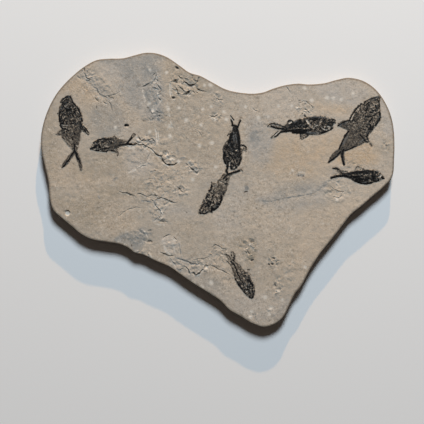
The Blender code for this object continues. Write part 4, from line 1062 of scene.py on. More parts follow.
def facets(places, size, seed):
    """Ground broken into chips about size across, each tilted its own way.

    Gives its height, how close each place is to the foot of a step, and how close to its brow.
    """
    moved = places / size + 0.45 * sway(places, 0.7 * size, seed)
    home = np.floor(moved).astype(np.int64)
    near, next_near = np.full(len(places), 9.0), np.full(len(places), 9.0)
    height, next_height = np.zeros(len(places)), np.zeros(len(places))
    for i in (-1, 0, 1):
        for j in (-1, 0, 1):
            ix, iy = home[:, 0] + i, home[:, 1] + j
            middle = np.stack([ix + lattice(ix, iy, seed + 2), iy + lattice(ix, iy, seed + 3)], 1)
            offset = moved - middle
            distance = np.hypot(offset[:, 0], offset[:, 1])
            lean = 2 * math.pi * lattice(ix, iy, seed + 4)
            slope = 0.10 + 0.40 * lattice(ix, iy, seed + 5)
            level = 0.12 * (lattice(ix, iy, seed + 6) - 0.5)
            level += slope * (offset[:, 0] * np.cos(lean) + offset[:, 1] * np.sin(lean))
            closer = distance < near
            second = ~closer & (distance < next_near)
            next_near = np.where(closer, near, np.where(second, distance, next_near))
            next_height = np.where(closer, height, np.where(second, level, next_height))
            near = np.where(closer, distance, near)
            height = np.where(closer, level, height)
    joint = np.exp(-((next_near - near) * size / 2 / 1.3) ** 2)
    step = (next_height - height) * size
    return height * size, joint * np.clip(step / 1.2, 0, 1), joint * np.clip(-step / 1.2, 0, 1)


def flaked_share(places):
    """How badly the face is flaked at each place: 1 where its chips lie steepest."""
    share = np.zeros(len(places))
    ragged = 0.35 * rough(places, 22.0, 3, seed=18)
    for middle, radii, steepness in FLAKED:
        near = blot(places, middle, radii) + ragged
        share = np.maximum(share, steepness * (1 - smooth_step(near, 0.5, 1.15)))
    return share


def flaking(places):
    """Chips broken away: how much lower they leave each place, the dirt and painted shade at their feet,
    and the painted highlight on their brows.
    """
    share = flaked_share(places)
    broad, small = (facets(places, size, seed) for size, seed in zip(CHIP_SIZES, (70, 80)))
    height = 0.9 * broad[0] + 0.7 * small[0]
    foot, brow = (np.maximum(broad[k], 0.8 * small[k]) for k in (1, 2))
    return -share * height, share * foot, share * brow


def dents_at(places):
    """Depth of the pits, less the height of the lumps."""
    sink = np.zeros(len(places))
    for middle, radii, turn, depth in DENTS:
        near = blot(places, middle, radii, turn)
        close = near < 2.5
        edge = near[close] + 0.18 * rough(places[close], 5.0, 2, seed=23)
        bowl = 1 - smooth_step(edge, 0.45, 1.15)
        sink[close] += depth * bowl
        if depth < 0:
            sink[close] += 0.35 * bowl * rough(places[close], 7.0, 3, seed=24)
    return sink


def pale_specks(places):
    specks = np.zeros(len(places))
    ragged = 0.25 * rough(places, 6.0, 2, seed=30)
    for i, middle in enumerate(PALE_SPECKS):
        size = PALE_SPECK_SIZES[i % len(PALE_SPECK_SIZES)]
        near = blot(places, middle, (size, size)) + ragged
        specks = np.maximum(specks, 1 - smooth_step(near, 0.2, 1.2))
    return specks


def face_relief(places):
    """Height of the finished face, and the masks that its stone is coloured by."""
    margin = fish_margin(places)
    sink, dark, pale = cracks_at(places)
    chips, feet, brows = flaking(places)
    worn = 0.6 + 0.8 * smooth_step(rough(places, 50.0, 2, seed=4), -0.3, 0.4)
    height = bedding(places)
    height += sum(rise * rough(places, size, 3, seed=k) for k, (size, rise) in enumerate(SWELLS, 1))
    height += RIPPLE[1] * worn * rough(places, RIPPLE[0], 2, seed=3)
    height -= sink + chips + dents_at(places)
    middle, radii, depth = DRILLED_PIT
    bore = 1 - smooth_step(blot(places, middle, radii), 0.72, 1.02)
    height -= depth * bore
    height -= FISH_HOLLOW * np.exp(-np.maximum(margin, 0) / HOLLOW_REACH)
    height -= FISH_BED * smooth_step(-margin, 0.3, 2.4)
    tones = draw(places, SMUDGES, seed=60)
    broken = 0.25 + 0.75 * smooth_step(rough(places, 4.5, 2, seed=61), -0.5, 0.25)
    height -= STROKE_DEPTH * np.maximum(tones["brown"], tones["coal"]) * broken
    over = np.maximum(height - PROUD, 0.0)
    height -= over - HEADROOM * (1 - np.exp(-over / HEADROOM))
    films = [BROWN_ON_STONE * tones["brown"] * broken, STAIN_FILM * tones["stain"], tones["coal"]]
    films += [fish_fringe(name, places) for name in FISH]
    # Pale lime, with painted highlights on the brows of chips and on some specks and cream strokes.
    pales_and_highlights = [SPECK_PALE_AND_HIGHLIGHT * pale_specks(places), CREAM_PALE_AND_HIGHLIGHT * tones["cream"] * broken, pale,
             FLOOR_LIME * bore, BROW_HIGHLIGHT * brows]
    masks = patches(places)
    slates = [masks["slate"], SLATE_STROKE * tones["slate"] * broken, tones["stain"]]
    masks["slate"] = np.maximum.reduce(slates)
    # Dark of cracks and of the feet of chips: dirt and painted shade.
    masks["crack"] = np.maximum(dark, DIRT_AND_SHADE_AT_FEET * feet)
    masks["film"] = np.maximum.reduce(films)
    masks["pale_and_highlight"] = np.maximum.reduce(pales_and_highlights)
    return height, masks


def fish_fringe(name, places):
    """The faint dark fringe that a fish leaves on the stone beside it."""
    near = near_path(places, np.concatenate(SILHOUETTES[name]), HAZE_REACH)
    film = np.zeros(len(places))
    if len(near):
        film[near] = fish_tones(name, on_fish(FISH[name], places[near]))["film"]
    return film


def fish_margins(fish, places):
    """Distance inside the body, the tail and the fins of a fish; below zero outside them."""
    margins = {}
    for kind, loop in fish_loops(fish):
        depth = depth_inside(places, loop)
        margins[kind] = np.maximum(margins.get(kind, depth), depth)
    return margins["body"], margins["tail"], margins["fin"]


def fish_tones(name, places):
    """The film's darkness, the pale bone with its few painted highlights, and the painted sheen at each
    place on a fish.
    """
    fish, look = FISH[name], FILM[name]
    seed = 100 + 10 * list(FISH).index(name)
    u, v = places[:, 0], places[:, 1]
    share = np.clip(u / body_length(fish), 0, 1)
    ends, back, belly = np.array(look["dark"], float).T
    back, belly = np.interp(share, ends, back), np.interp(share, ends, belly)
    base = belly + (back - belly) * smooth_step(v, -5.0, 2.0)
    body, tail, fins = fish_margins(fish, places)
    ragged = 0.9 * rough(places, 5.0, 3, seed=seed)
    film = base * smooth_step(body + ragged, -1.0, 1.8)
    film = np.maximum(film, look["tail"] * smooth_step(tail + ragged, -0.8, 1.6))
    film = np.maximum(film, look["fins"] * smooth_step(fins + ragged, -0.8, 1.6))
    nearest = np.maximum.reduce([body, tail, fins])
    fringe = 0.9 + 0.9 * rough(places, 9.0, 2, seed=seed + 8)
    film = np.maximum(film, HAZE * fringe * smooth_step(nearest, -6.0, 0.0))
    scratch = streaks(places, SCRATCH_SIZE, seed + 3)
    rear = 1 - (1 - look["rear"]) * smooth_step(share, 0.45, 0.8)
    light, black = look["light"] * rear, look["black"] * rear
    film += (np.minimum(film, SCRATCHED) - film) * light * smooth_step(scratch, 0.0, 0.45)
    film += (0.95 - film) * black * smooth_step(-scratch, 0.05, 0.5) * smooth_step(film, 0.1, 0.3)
    speck = rough(places, 3.0, 1, seed=seed + 7)
    film *= 1 - 0.6 * look["specks"] * smooth_step(speck, 0.0, 0.6)
    tones = draw(places, MARKS[name], seed=seed + 1)
    brown = BROWN_ON_FISH * tones["brown"] * (1 - 0.35 * smooth_step(speck, 0.0, 0.7))
    film = np.maximum(film, brown)
    film += (1.0 - film) * tones["coal"]
    broken = smooth_step(rough(places, 4.0, 2, seed=seed + 5), -0.55, 0.15)
    film *= (1 - 0.50 * tones["bare"] * broken) * (1 - 0.8 * tones["cream"] * broken)
    # Pale bone with a few painted highlights, and the painted blue-grey sheen of the scales.
    return {"film": np.clip(film, 0, 1), "pale_and_highlight": 0.5 * tones["cream"] * broken,
            "painted_shine_mask": 0.4 * tones["painted_shine"] * broken, "grain": 0.4 + 0.6 * rear,
            "margins": (body, tail, fins)}


# ---- Making meshes ----

def deselect():
    if bpy.context.object and bpy.context.object.mode != "OBJECT":
        bpy.ops.object.mode_set(mode="OBJECT")
    bpy.ops.object.select_all(action="DESELECT")


def places_of(item):
    data = np.empty(len(item.data.vertices) * 3)
    item.data.vertices.foreach_get("co", data)
    return data.reshape(-1, 3) / MM


def move_to(item, places):
    item.data.vertices.foreach_set("co", (np.asarray(places) * MM).ravel())
    item.data.update()


# The largest loose island that is a scrap, as a share of the largest island of the mesh.
SCRAP_SHARE = 0.02


def drop_scraps(item):
    """Deletes the small loose islands of a mesh in edit mode."""
    net = bmesh.from_edit_mesh(item.data)
    net.verts.index_update()
    seen = np.full(len(net.verts), -1)
    sizes = []
    for start in net.verts:
        if seen[start.index] >= 0:
            continue
        stack = [start]
        seen[start.index] = len(sizes)
        count = 0
        while stack:
            vertex = stack.pop()
            count += 1
            for edge in vertex.link_edges:
                other = edge.other_vert(vertex)
                if seen[other.index] < 0:
                    seen[other.index] = len(sizes)
                    stack.append(other)
        sizes.append(count)
    small = [k for k, count in enumerate(sizes) if count < SCRAP_SHARE * max(sizes)]
    scraps = [vertex for vertex in net.verts if seen[vertex.index] in small]
    bmesh.ops.delete(net, geom=scraps, context="VERTS")
    bmesh.update_edit_mesh(item.data)


def paint(item, name, values):
    mask = item.data.attributes.new(name, "FLOAT", "POINT")
    mask.data.foreach_set("value", np.asarray(values, dtype=np.float32))


def finished(item, finish, sharp):
    """Turns an edited mesh's faces outwards, keeps edges over sharp degrees, and gives its finish."""
    bpy.ops.mesh.normals_make_consistent(inside=False)
    bpy.ops.object.mode_set(mode="OBJECT")
    bpy.ops.object.shade_smooth_by_angle(angle=math.radians(sharp))
    item.data.materials.clear()
    item.data.materials.append(finish)
    return item


def scattered(border, step, rng):
    """Places about a step apart within a border, in rows, each a little out of line."""
    reach = np.abs(border).max(axis=0) + step
    columns, rows = np.arange(-reach[0], reach[0], step), np.arange(-reach[1], reach[1], step * 0.866)
    x, y = np.meshgrid(columns, rows)
    x += (np.arange(len(y)) % 2)[:, None] * step / 2
    scatter = np.stack([x.ravel(), y.ravel()], 1)
    scatter += rng.uniform(-0.2, 0.2, scatter.shape) * step
    return scatter[inside(scatter, border)]


def gaps(places, others):
    """How far each place is from the nearest of the others."""
    tree = KDTree(len(others))
    for i, (x, y) in enumerate(others):
        tree.insert((x, y, 0.0), i)
    tree.balance()
    return np.array([tree.find((x, y, 0.0))[2] for x, y in places])


def clear_of(places, others, gap):
    """The places that are farther than a gap from all the others."""
    return places[gaps(places, others) > gap]


def face_points(border):
    """Places for the face's net: in rows along the cracks, close in broken ground, wide elsewhere."""
    paths = [crack_path(k) for k in range(len(CRACKS))]
    rows = []
    for path, (width, *_) in zip(paths, CRACKS):
        heading = np.gradient(path, axis=0)
        heading /= np.linalg.norm(heading, axis=1)[:, None]
        normal = np.stack([-heading[:, 1], heading[:, 0]], 1)
        rows += [path + normal * share * width for share in CRACK_ROWS]
    rows = np.concatenate(rows)
    rows = clear_of(rows[inside(rows, border)], border, 1.2)
    rng = np.random.default_rng(SEED)
    close = scattered(border, CLOSE_STEP, rng)
    margin = fish_margin(close)
    wanted = (flaked_share(close) > 0.22) | ((margin < 3.0) & (margin > -4.0))
    wanted |= gaps(close, np.concatenate(paths)) < 9.0
    for middle, radii, turn, _ in DENTS:
        wanted |= blot(close, middle, radii, turn) < 1.4
    wanted |= blot(close, DRILLED_PIT[0], DRILLED_PIT[1]) < 1.5
    fixed = np.concatenate([rows, border])
    close = clear_of(close[wanted], fixed, 0.55 * CLOSE_STEP)
    fixed = np.concatenate([fixed, close])
    wide = clear_of(scattered(border, WIDE_STEP, rng), fixed, 0.7 * WIDE_STEP)
    return np.concatenate([rows, close, wide])


def stone_sides(edge):
    """The stone's back and its upright sides, drawn up in thin beds from a ring on its edge."""
    deselect()
    bpy.ops.mesh.primitive_circle_add(vertices=len(edge), radius=0.4, location=(0, 0, 0))
    stone = bpy.context.object
    stone.name = "stone"
    bpy.ops.object.mode_set(mode="EDIT")
    bpy.ops.mesh.select_all(action="SELECT")
    bpy.ops.mesh.edge_face_add()
    for _ in SIDE_PROFILE[1:]:
        bpy.ops.mesh.extrude_region_move(TRANSFORM_OT_translate={"value": (0, 0, MM)})
    bpy.ops.mesh.delete(type="ONLY_FACE")
    bpy.ops.object.mode_set(mode="OBJECT")
    places = places_of(stone)
    level = np.rint(places[:, 2]).astype(int)
    for k, (stand_in, height) in enumerate(SIDE_PROFILE):
        ring = np.nonzero(level == k)[0]
        bump = 0.0
        if 0 < k < len(SIDE_PROFILE) - 1:
            bump = 0.25 + 0.25 * rough(edge + 31.0 * k, 22.0, 3, seed=20 + k)
        places[ring, :2] = inset(edge, stand_in + bump)
        places[ring, 2] = height
    move_to(stone, places)
    return stone


def stone_face(border):
    """The stone's face, netted round its cracks, and the names of the masks that colour it."""
    flat = np.concatenate([border, face_points(border)])
    loop = [(i, (i + 1) % len(border)) for i in range(len(border))]
    net, _, faces, *_ = delaunay_2d_cdt([Vector(p) for p in flat], loop, [], 1, 1e-4)
    net = np.array([tuple(v) for v in net])
    height, masks = face_relief(net)
    from_edge = path_distance(net, EDGE, closed=True)[0]
    height = THICKNESS + (height - THICKNESS) * smooth_step(from_edge, 2.8, 7.0)
    # A brown line along the face's edge. The sides get the same brown in full, and there it is painted
    # shade.
    masks["rim"] = 0.85 * (1 - smooth_step(from_edge, 2.2, 5.0))
    mesh = bpy.data.meshes.new("face")
    mesh.from_pydata([tuple(p) for p in np.column_stack([net, height]) * MM], [], faces)
    face = bpy.data.objects.new("face", mesh)
    bpy.context.collection.objects.link(face)
    for name, values in masks.items():
        paint(face, name, values)
    return face, list(masks)


def slab_stone(finish):
    """The stone: its sides and its face, joined along the border between them."""
    edge = smooth_path(OUTLINE, SIDE_STEP, closed=True)
    stone = stone_sides(edge)
    face, masks = stone_face(inset(edge, SIDE_PROFILE[-1][0]))
    for name in masks:
        # The sides take the edge brown in full, as painted shade on them.
        paint(stone, name, np.full(len(stone.data.vertices), float(name == "rim")))
    deselect()
    face.select_set(True)
    stone.select_set(True)
    bpy.context.view_layer.objects.active = stone
    bpy.ops.object.join()
    bpy.ops.object.mode_set(mode="EDIT")
    bpy.ops.mesh.select_all(action="SELECT")
    bpy.ops.mesh.remove_doubles(threshold=0.02 * MM)
    return finished(stone, finish, sharp=50)


# ---- Making the fish ----

# The step of a fish's net, the height of its flat floor in the stone, and the height it may reach.
FISH_STEP = 0.8
FISH_FLOOR = 23.6
HIGHEST = 27.1

# How high a body and a fin stand at their edges, how much more inside, and how steeply the film
# falls away outside.
FLANK_EDGE = 0.22
FLANK_RISE = 0.75
FIN_EDGE = 0.1
FIN_RISE = 0.45
MARGIN_FALL = 0.9

# How deep a fish's net may lie below the face, and down to which depth and how far outside the
# fish's outline it is kept.
DEEPEST = -1.2
KEPT_DEPTH = -1.0
KEPT_MARGIN = -9.0

# In shares of the body's length: a joint of the backbone, a rib's spacing, and for the gill and the
# eye their middle, along the fish and out towards its back, and their radius.
JOINT = 0.026
RIB = 0.03
GILL = (0.10, 0.02, 0.125)
EYE = (0.085, 0.02, 0.028)

# Spacing of the scales, and of the rays of the tail and of the fins.
SCALE = 4.4
TAIL_RAY = 2.1
FIN_RAY = 2.3


def wave(value, length):
    return np.cos(2 * math.pi * value / length)


def backbone(fish, u):
    """How far out the backbone lies at each place along the fish."""
    low, high = edge_curves(fish, np.clip(u / body_length(fish), 0, 1))
    return low + 0.56 * (high - low)


def from_ring(u, v, length, ring):
    """Distance outside a ring on the head, such as the gill's."""
    middle_u, middle_v, radius = ring
    return np.hypot(u - middle_u * length, v - middle_v * length) - radius * length


def anatomy(fish, name, places, body):
    """Low relief of the skull, the backbone, the ribs and the scales."""
    u, v = places[:, 0], places[:, 1]
    length = body_length(fish)
    share = u / length
    spine = v - backbone(fish, u)
    trunk = smooth_step(share, 0.2, 0.3) * smooth_step(body, 0.5, 3.0)
    relief = 0.42 * trunk * np.exp(-(spine / 1.5) ** 2) * (0.6 + 0.4 * wave(u, JOINT * length))
    ribs = wave(u + 0.75 * np.abs(spine) + 0.012 * spine ** 2, RIB * length)
    relief += 0.10 * trunk * ribs * (1 - smooth_step(share, 0.55, 0.8)) * (np.abs(spine) > 1.5)
    relief += 0.08 * trunk * (wave(u + v, SCALE) * wave(u - v, SCALE))
    skull = (1 - smooth_step(share, 0.2, 0.27)) * smooth_step(body, 0.0, 2.0)
    plates = np.abs(rough(places, 11.0, 2, seed=150 + len(name)))
    relief += skull * (0.35 - 0.6 * (1 - smooth_step(plates, 0.02, 0.12)))
    within = smooth_step(body, 0.5, 2.0)
    gill, eye = (from_ring(u, v, length, ring) for ring in (GILL, EYE))
    relief -= 0.45 * np.exp(-(gill / 1.1) ** 2) * (u > GILL[0] * length) * within
    relief -= 0.3 * np.exp(-(eye / 0.9) ** 2) * within
    return relief


def ray_relief(places, tail, fins):
    """The rays of the tail and of the fins."""
    u, v = places[:, 0], places[:, 1]
    rays = wave(v - 0.15 * u, TAIL_RAY) * (tail > 0.3)
    return 0.12 * (rays + wave(u - 0.5 * np.abs(v), FIN_RAY) * (fins > 0.3) * (tail <= 0.3))


def fish_relief(name, places, tones):
    """Height of a fish over the stone's face; it dips below the face at its ragged margin."""
    body, tail, fins = tones["margins"]
    film = tones["film"]
    ragged = 0.7 * rough(places, 4.5, 3, seed=200)
    flank = FLANK_EDGE + FLANK_RISE * (1 - np.exp(-np.maximum(body, 0) / 6.0))
    rise = np.where(body + ragged > 0, flank, FLANK_EDGE + MARGIN_FALL * (body + ragged))
    thin = np.maximum(tail, fins) + ragged
    fin = FIN_EDGE + FIN_RISE * (1 - np.exp(-thin / 2.0))
    rise = np.maximum(rise, np.where(thin > 0, fin, FIN_EDGE + MARGIN_FALL * thin))
    drawn = draw(places, {tone: MARKS[name][tone] for tone in ("coal", "brown")}, seed=201)
    rise = np.maximum(rise, -1.0 + 1.45 * np.maximum(drawn["coal"], drawn["brown"]))
    worn = rise * (0.15 + 0.85 * smooth_step(film, 0.05, 0.45))
    worn -= 0.6 * (1 - smooth_step(film, 0.02, 0.1))
    rise = np.where(rise > 0, worn, rise)
    inner = smooth_step(rise, 0.0, 0.3)
    rise += inner * anatomy(FISH[name], name, places, body) + inner * ray_relief(places, tail, fins)
    rise += inner * (0.55 * (film - 0.5) + 0.22 * rough(places, 5.0, 3, seed=202))
    return np.maximum(rise, DEEPEST)


def fish_net(name):
    """A fine net over a fish, drawn up into relief and cut to its ragged outline."""
    fish = FISH[name]
    courses = [course for strokes in MARKS[name].values() for _, *course in strokes]
    every = np.concatenate([loop for _, loop in fish_loops(fish)] + [np.array(c, float) for c in courses])
    low, high = every.min(axis=0) - 4, every.max(axis=0) + 4
    size = high - low
    columns, rows = (int(round(side / FISH_STEP)) for side in size)
    deselect()
    bpy.ops.mesh.primitive_grid_add(x_subdivisions=columns, y_subdivisions=rows, size=1.0,
                                    location=(0, 0, 0))
    piece = bpy.context.object
    piece.name = name.replace("fish", "fossil_fish")
    places = low + (places_of(piece)[:, :2] * MM + 0.5) * size
    tones = fish_tones(name, places)
    rise = fish_relief(name, places, tones)
    ground = on_slab(fish, places)
    move_to(piece, np.column_stack([ground, np.minimum(bedding(ground) + rise, HIGHEST)]))
    # Among these masks are the painted sheen on the scales and the pale bone with its painted highlights.
    for tone in ("film", "pale_and_highlight", "painted_shine_mask", "grain"):
        paint(piece, tone, tones[tone])
    bpy.ops.object.mode_set(mode="EDIT")
    bpy.ops.mesh.select_mode(type="VERT")
    bpy.ops.mesh.select_all(action="DESELECT")
    bpy.ops.object.mode_set(mode="OBJECT")
    keep = (rise > KEPT_DEPTH) & (np.maximum.reduce(tones["margins"]) > KEPT_MARGIN)
    piece.data.vertices.foreach_set("select", ~keep)
    bpy.ops.object.mode_set(mode="EDIT")
    bpy.ops.mesh.delete(type="VERT")
    bpy.ops.mesh.select_all(action="SELECT")
    bpy.ops.mesh.delete_loose(use_verts=True, use_edges=True, use_faces=False)
    drop_scraps(piece)
    return piece


def fossil_fish(name, finish):
    """One fish: its net with walls down into the stone, closed by a flat floor."""
    piece = fish_net(name)
    bpy.ops.mesh.select_all(action="SELECT")
    bpy.ops.mesh.region_to_loop()
    bpy.ops.mesh.extrude_edges_move(TRANSFORM_OT_translate={"value": (0, 0, -MM)})
    bpy.ops.object.mode_set(mode="OBJECT")
    picked = np.zeros(len(piece.data.vertices), bool)
    piece.data.vertices.foreach_get("select", picked)
    places = places_of(piece)
    places[picked, 2] = FISH_FLOOR
    move_to(piece, places)
    bpy.ops.object.mode_set(mode="EDIT")
    bpy.ops.mesh.edge_face_add()
    bpy.ops.mesh.select_all(action="SELECT")
    return finished(piece, finish, sharp=60)


# ---- Finishes ----

class Finish:
    """A material, and short ways to join its nodes. Patterns read Object coordinates in metres."""

    def __init__(self, name, roughness, specular=0.5):
        self.material = bpy.data.materials.new(name)
        self.material.use_nodes = True
        self.nodes = self.material.node_tree.nodes
        self.links = self.material.node_tree.links
        self.shader = self.nodes["Principled BSDF"]
        self.shader.inputs["Roughness"].default_value = roughness
        self.shader.inputs["Specular IOR Level"].default_value = specular
        self.place = self.nodes.new("ShaderNodeTexCoord").outputs["Object"]

    def feed(self, value, socket):
        if isinstance(value, bpy.types.NodeSocket):
            self.links.new(value, socket)
        else:
            socket.default_value = value

    def node(self, kind, inputs, **settings):
        """A new node with its settings, fed with numbers, colours or other nodes."""
        node = self.nodes.new("ShaderNode" + kind)
        for name, setting in settings.items():
            setattr(node, name, setting)
        for socket, value in inputs.items():
            self.feed(value, node.inputs[socket])
        return node.outputs

    def mask(self, name):
        return self.node("Attribute", {}, attribute_name=name)["Fac"]

    def stretched(self, scale, turn=0.0):
        """Places counted in lengths and widths of strokes that lie at a turn."""
        inputs = {"Vector": self.place, "Rotation": (0, 0, math.radians(turn)), "Scale": scale}
        return self.node("Mapping", inputs, vector_type="TEXTURE")["Vector"]

    def noise(self, size, detail=4.0, roughness=0.55, place=None, distortion=0.0):
        """Noise from 0 to 1 whose lumps are about size metres across."""
        inputs = {"Vector": place or self.place, "Scale": 1.0 / size, "Detail": detail,
                  "Roughness": roughness, "Distortion": distortion}
        return self.node("TexNoise", inputs)["Fac"]

    def cells(self, size):
        """Distance from the middle of round cells about size metres across."""
        return self.node("TexVoronoi", {"Vector": self.place, "Scale": 1.0 / size})["Distance"]

    def band(self, value, low, high, to_low=0.0, to_high=1.0):
        """A value eased from one range into another."""
        inputs = {"Value": value, "From Min": low, "From Max": high, "To Min": to_low, "To Max": to_high}
        return self.node("MapRange", inputs, interpolation_type="SMOOTHSTEP")["Result"]

    def reckon(self, operation, a, b):
        return self.node("Math", {0: a, 1: b}, operation=operation)["Value"]

    def blend(self, share, a, b):
        """A colour that goes from a to b as the share goes from 0 to 1."""
        return self.node("Mix", {"Factor": share, 6: a, 7: b}, data_type="RGBA")[2]

    def bump(self, height, distance, strength=1.0, over=None):
        inputs = {"Height": height, "Distance": distance, "Strength": strength}
        if over is not None:
            inputs["Normal"] = over
        return self.node("Bump", inputs)["Normal"]

    def colour(self, value):
        self.feed(value, self.shader.inputs["Base Color"])

    def rough(self, value):
        self.feed(value, self.shader.inputs["Roughness"])

    def normal(self, value):
        self.feed(value, self.shader.inputs["Normal"])


BUFF = (0.450, 0.390, 0.322, 1)
TAN = (0.480, 0.398, 0.310, 1)
SLATE = (0.258, 0.260, 0.252, 1)
ASH = (0.462, 0.426, 0.388, 1)
CHALK = (0.640, 0.550, 0.455, 1)
OCHRE = (0.530, 0.390, 0.255, 1)
OLIVE = (0.350, 0.290, 0.216, 1)
DARK_MOTTLE = (0.34, 0.31, 0.275, 1)
PALE_MOTTLE = (0.58, 0.50, 0.415, 1)
DARK_FLECK = (0.22, 0.185, 0.148, 1)
PALE_FLECK = (0.66, 0.60, 0.525, 1)
# Brown of the face's edge line, and painted shade on the sides.
EDGE_BROWN_AND_SIDE_SHADE = (0.19, 0.155, 0.12, 1)
# Pale lime, also used for painted highlights.
PALE_AND_HIGHLIGHT_TINT = (0.71, 0.655, 0.58, 1)
# Dark of cracks and of the feet of chips: dirt and painted shade.
DIRT_AND_SHADE_IN_CRACKS = (0.035, 0.030, 0.026, 1)
THIN_FILM = (0.105, 0.088, 0.070, 1)
THICK_FILM = (0.026, 0.024, 0.022, 1)
COAL = (0.0034, 0.0034, 0.0040, 1)
# Painted blue-grey sheen on the scales of the fish.
PAINTED_SHINE_GREY = (0.16, 0.175, 0.185, 1)
# Grey of the film's pale threads: partly bone, partly painted glints.
GREY_BONE_AND_GLINT = (0.175, 0.176, 0.172, 1)

# Sizes of the stone's pattern in metres: its broad clouds, the areas where its flecks are strong,
# and its mottle; and for each size of fleck how strong the dark and the pale ones are.
CLOUD_SIZE = 0.11
AREA_SIZE = 0.055
MOTTLE_SIZE = 0.026
FLECKS = ((0.0085, 0.40, 0.36), (0.0042, 0.42, 0.40), (0.0022, 0.36, 0.34))

# Lumps and grain of the stone, in metres: their size and how high they stand.
LUMPS = (0.0065, 0.0012)
GRAIN = (0.0026, 0.0007)

# The fossil bone's short strokes, in metres, and the two ways they lie; the size of the areas where
# one way or the other shows; its pale threads, partly grey bone and partly painted glints; and its
# grain and cells with their heights.
BONE_STROKE = (0.0052, 0.0023, 0.004)
BONE_TURNS = (50, -42)
BONE_AREA = 0.016
THREAD_OF_BONE_AND_GLINT = 0.0031
BONE_GRAIN = (0.0016, 0.0005)
BONE_CELLS = (0.0032, 0.0006)


def bedrock_colour(finish, tints):
    """Buff limestone under its tinted patches, with a mottle at three sizes and fine specks."""
    cloud = finish.noise(CLOUD_SIZE, 5, 0.65)
    colour = finish.blend(finish.band(cloud, 0.36, 0.64, 0, 0.8), BUFF, TAN)
    for tint, share in tints:
        colour = finish.blend(share, colour, tint)
    area = finish.band(finish.noise(AREA_SIZE, 3, 0.6), 0.38, 0.62, 0.45, 1.25)
    mottle = finish.noise(MOTTLE_SIZE, 6, 0.65, distortion=0.4)
    colour = finish.blend(finish.band(mottle, 0.34, 0.52, 0.26, 0), colour, DARK_MOTTLE)
    colour = finish.blend(finish.band(mottle, 0.52, 0.70, 0, 0.24), colour, PALE_MOTTLE)
    for size, dark, pale in FLECKS:
        fleck = finish.noise(size, 3, 0.6, distortion=0.6)
        low = finish.reckon("MULTIPLY", finish.band(fleck, 0.32, 0.47, dark, 0.0), area)
        high = finish.reckon("MULTIPLY", finish.band(fleck, 0.55, 0.70, 0.0, pale), area)
        colour = finish.blend(low, colour, DARK_FLECK)
        colour = finish.blend(high, colour, PALE_FLECK)
    return colour


def film_colour(finish, film, ground):
    """Carbon film over the ground: thin film is brown, and thick film is black."""
    colour = finish.blend(finish.band(film, 0.05, 0.42), ground, THIN_FILM)
    colour = finish.blend(finish.band(film, 0.38, 0.72), colour, THICK_FILM)
    return finish.blend(finish.band(film, 0.68, 0.98), colour, COAL)


def limestone_finish():
    finish = Finish("limestone", 0.92, 0.25)
    tints = ((CHALK, "chalk"), (OCHRE, "ochre"), (OLIVE, "olive"), (ASH, "ash"), (SLATE, "slate"))
    colour = bedrock_colour(finish, [(tint, finish.mask(name)) for tint, name in tints])
    worn = finish.band(finish.noise(0.0035, 3), 0.3, 0.6, 0.6, 1.1)
    film = finish.reckon("MULTIPLY", finish.mask("film"), worn)
    colour = film_colour(finish, film, colour)
    # Pale lime with painted highlights; the edge brown, which on the sides is painted shade; and the dark
    # of cracks, which is dirt with painted shade.
    for tint, name in ((PALE_AND_HIGHLIGHT_TINT, "pale_and_highlight"), (EDGE_BROWN_AND_SIDE_SHADE, "rim"), (DIRT_AND_SHADE_IN_CRACKS, "crack")):
        colour = finish.blend(finish.mask(name), colour, tint)
    finish.colour(colour)
    lumps = finish.bump(finish.noise(LUMPS[0], 4, 0.6, distortion=0.5), LUMPS[1], 0.5)
    finish.normal(finish.bump(finish.noise(GRAIN[0], 3, 0.6), GRAIN[1], 0.6, over=lumps))
    return finish.material


def fossil_finish():
    finish = Finish("fossil_bone", 0.6, 0.12)
    ground = bedrock_colour(finish, ((OLIVE, 0.2),))
    rising, falling = (finish.noise(1.0, 2, 0.5, finish.stretched(BONE_STROKE, turn), 0.3)
                       for turn in BONE_TURNS)
    choice = finish.band(finish.noise(BONE_AREA, 2), 0.44, 0.56)
    speck = finish.band(finish.blend(choice, rising, falling), 0.36, 0.64, -0.29, 0.29)
    speck = finish.reckon("MULTIPLY", speck, finish.mask("grain"))
    solid = finish.band(finish.mask("film"), 0.86, 1.0, 1.0, 0.25)
    film = finish.reckon("ADD", finish.mask("film"), finish.reckon("MULTIPLY", speck, solid))
    colour = film_colour(finish, film, ground)
    # Pale grey threads on thick film: partly grey bone, partly painted glints.
    thread = finish.band(finish.noise(THREAD_OF_BONE_AND_GLINT, 2, 0.5, distortion=1.2), 0.54, 0.66, 0.0, 0.55)
    on_film = finish.reckon("MULTIPLY", finish.band(film, 0.3, 0.7), solid)
    colour = finish.blend(finish.reckon("MULTIPLY", thread, on_film), colour, GREY_BONE_AND_GLINT)
    # Pale bone with a few painted highlights, then the painted blue-grey sheen of the scales.
    for tint, name in ((PALE_AND_HIGHLIGHT_TINT, "pale_and_highlight"), (PAINTED_SHINE_GREY, "painted_shine_mask")):
        colour = finish.blend(finish.mask(name), colour, tint)
    finish.colour(colour)
    finish.rough(finish.band(film, 0.2, 0.9, 0.9, 0.55))
    grain = finish.bump(finish.noise(BONE_GRAIN[0], 3, 0.6), BONE_GRAIN[1], 0.6)
    finish.normal(finish.bump(finish.cells(BONE_CELLS[0]), BONE_CELLS[1], 0.4, over=grain))
    return finish.material


# ---- Floor, camera and lights ----

FLOOR_SIZE = 12.0
FLOOR_COLOUR = (0.8, 0.8, 0.8, 1)
CAMERA_AIM = (-13.2, -52.8)
CAMERA_HEIGHT = 2400.0
VIEW_WIDTH = 1017.6
SENSOR_WIDTH = 36.0

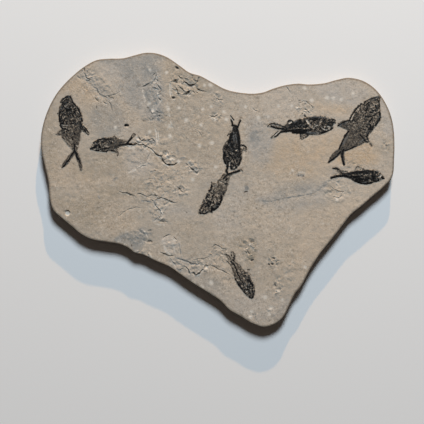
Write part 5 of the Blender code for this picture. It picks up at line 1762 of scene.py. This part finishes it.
# Lights, in metres: degrees up, degrees from the far side to the right, distance, width, power in
# watts, and colour.
LIGHTS = {
    "broad_light": (38.5, 8.0, 9.0, 2.7, 960, (0.80, 0.91, 1.0)),
    "grazing_light": (12.9, 6.2, 8.0, 0.12, 520, (1.0, 0.57, 0.20)),
}
SKY_COLOUR = (1.0, 0.80, 0.66, 1)
SKY_STRENGTH = 0.05


def build_stage():
    """A plain pale floor under the slab."""
    deselect()
    bpy.ops.mesh.primitive_plane_add(size=FLOOR_SIZE, location=(0, 0, 0))
    floor = bpy.context.object
    floor.name = "floor"
    finish = Finish("floor_finish", 0.9)
    finish.colour(FLOOR_COLOUR)
    floor.data.materials.append(finish.material)


def build_camera():
    """A camera straight above the slab, looking down."""
    deselect()
    x, y = CAMERA_AIM
    place = (x * MM, y * MM, (THICKNESS + CAMERA_HEIGHT) * MM)
    bpy.ops.object.camera_add(location=place, rotation=(0, 0, 0))
    camera = bpy.context.object
    camera.data.sensor_width = SENSOR_WIDTH
    camera.data.lens = SENSOR_WIDTH * CAMERA_HEIGHT / VIEW_WIDTH
    bpy.context.scene.camera = camera


def area_light(name, height, bearing, distance, width, power, colour):
    """A round light that faces the slab's middle."""
    data = bpy.data.lights.new(name, "AREA")
    data.shape = "DISK"
    data.size = width
    data.energy = power
    data.color = colour
    lamp = bpy.data.objects.new(name, data)
    bpy.context.collection.objects.link(lamp)
    up, turn = math.radians(height), math.radians(bearing)
    lamp.location = Vector((math.sin(turn) * math.cos(up), math.cos(turn) * math.cos(up),
                            math.sin(up))) * distance
    lamp.rotation_euler = (-lamp.location).to_track_quat("-Z", "Y").to_euler()
    lamp.visible_camera = False


def build_lights():
    """Broad cool light from high on the far side, and a small warm light that grazes the face."""
    for name, light in LIGHTS.items():
        area_light(name, *light)
    world = bpy.data.worlds.new("studio")
    bpy.context.scene.world = world
    world.use_nodes = True
    sky = world.node_tree.nodes["Background"]
    sky.inputs["Color"].default_value = SKY_COLOUR
    sky.inputs["Strength"].default_value = SKY_STRENGTH


def main():
    bpy.context.scene.view_settings.view_transform = "Standard"
    stone = slab_stone(limestone_finish())
    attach(stone, "root")
    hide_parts("slab")
    bone = fossil_finish()
    for name in FISH:
        piece = fossil_fish(name, bone)
        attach(piece, "root")
        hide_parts(name)
    build_stage()
    build_camera()
    build_lights()


main()
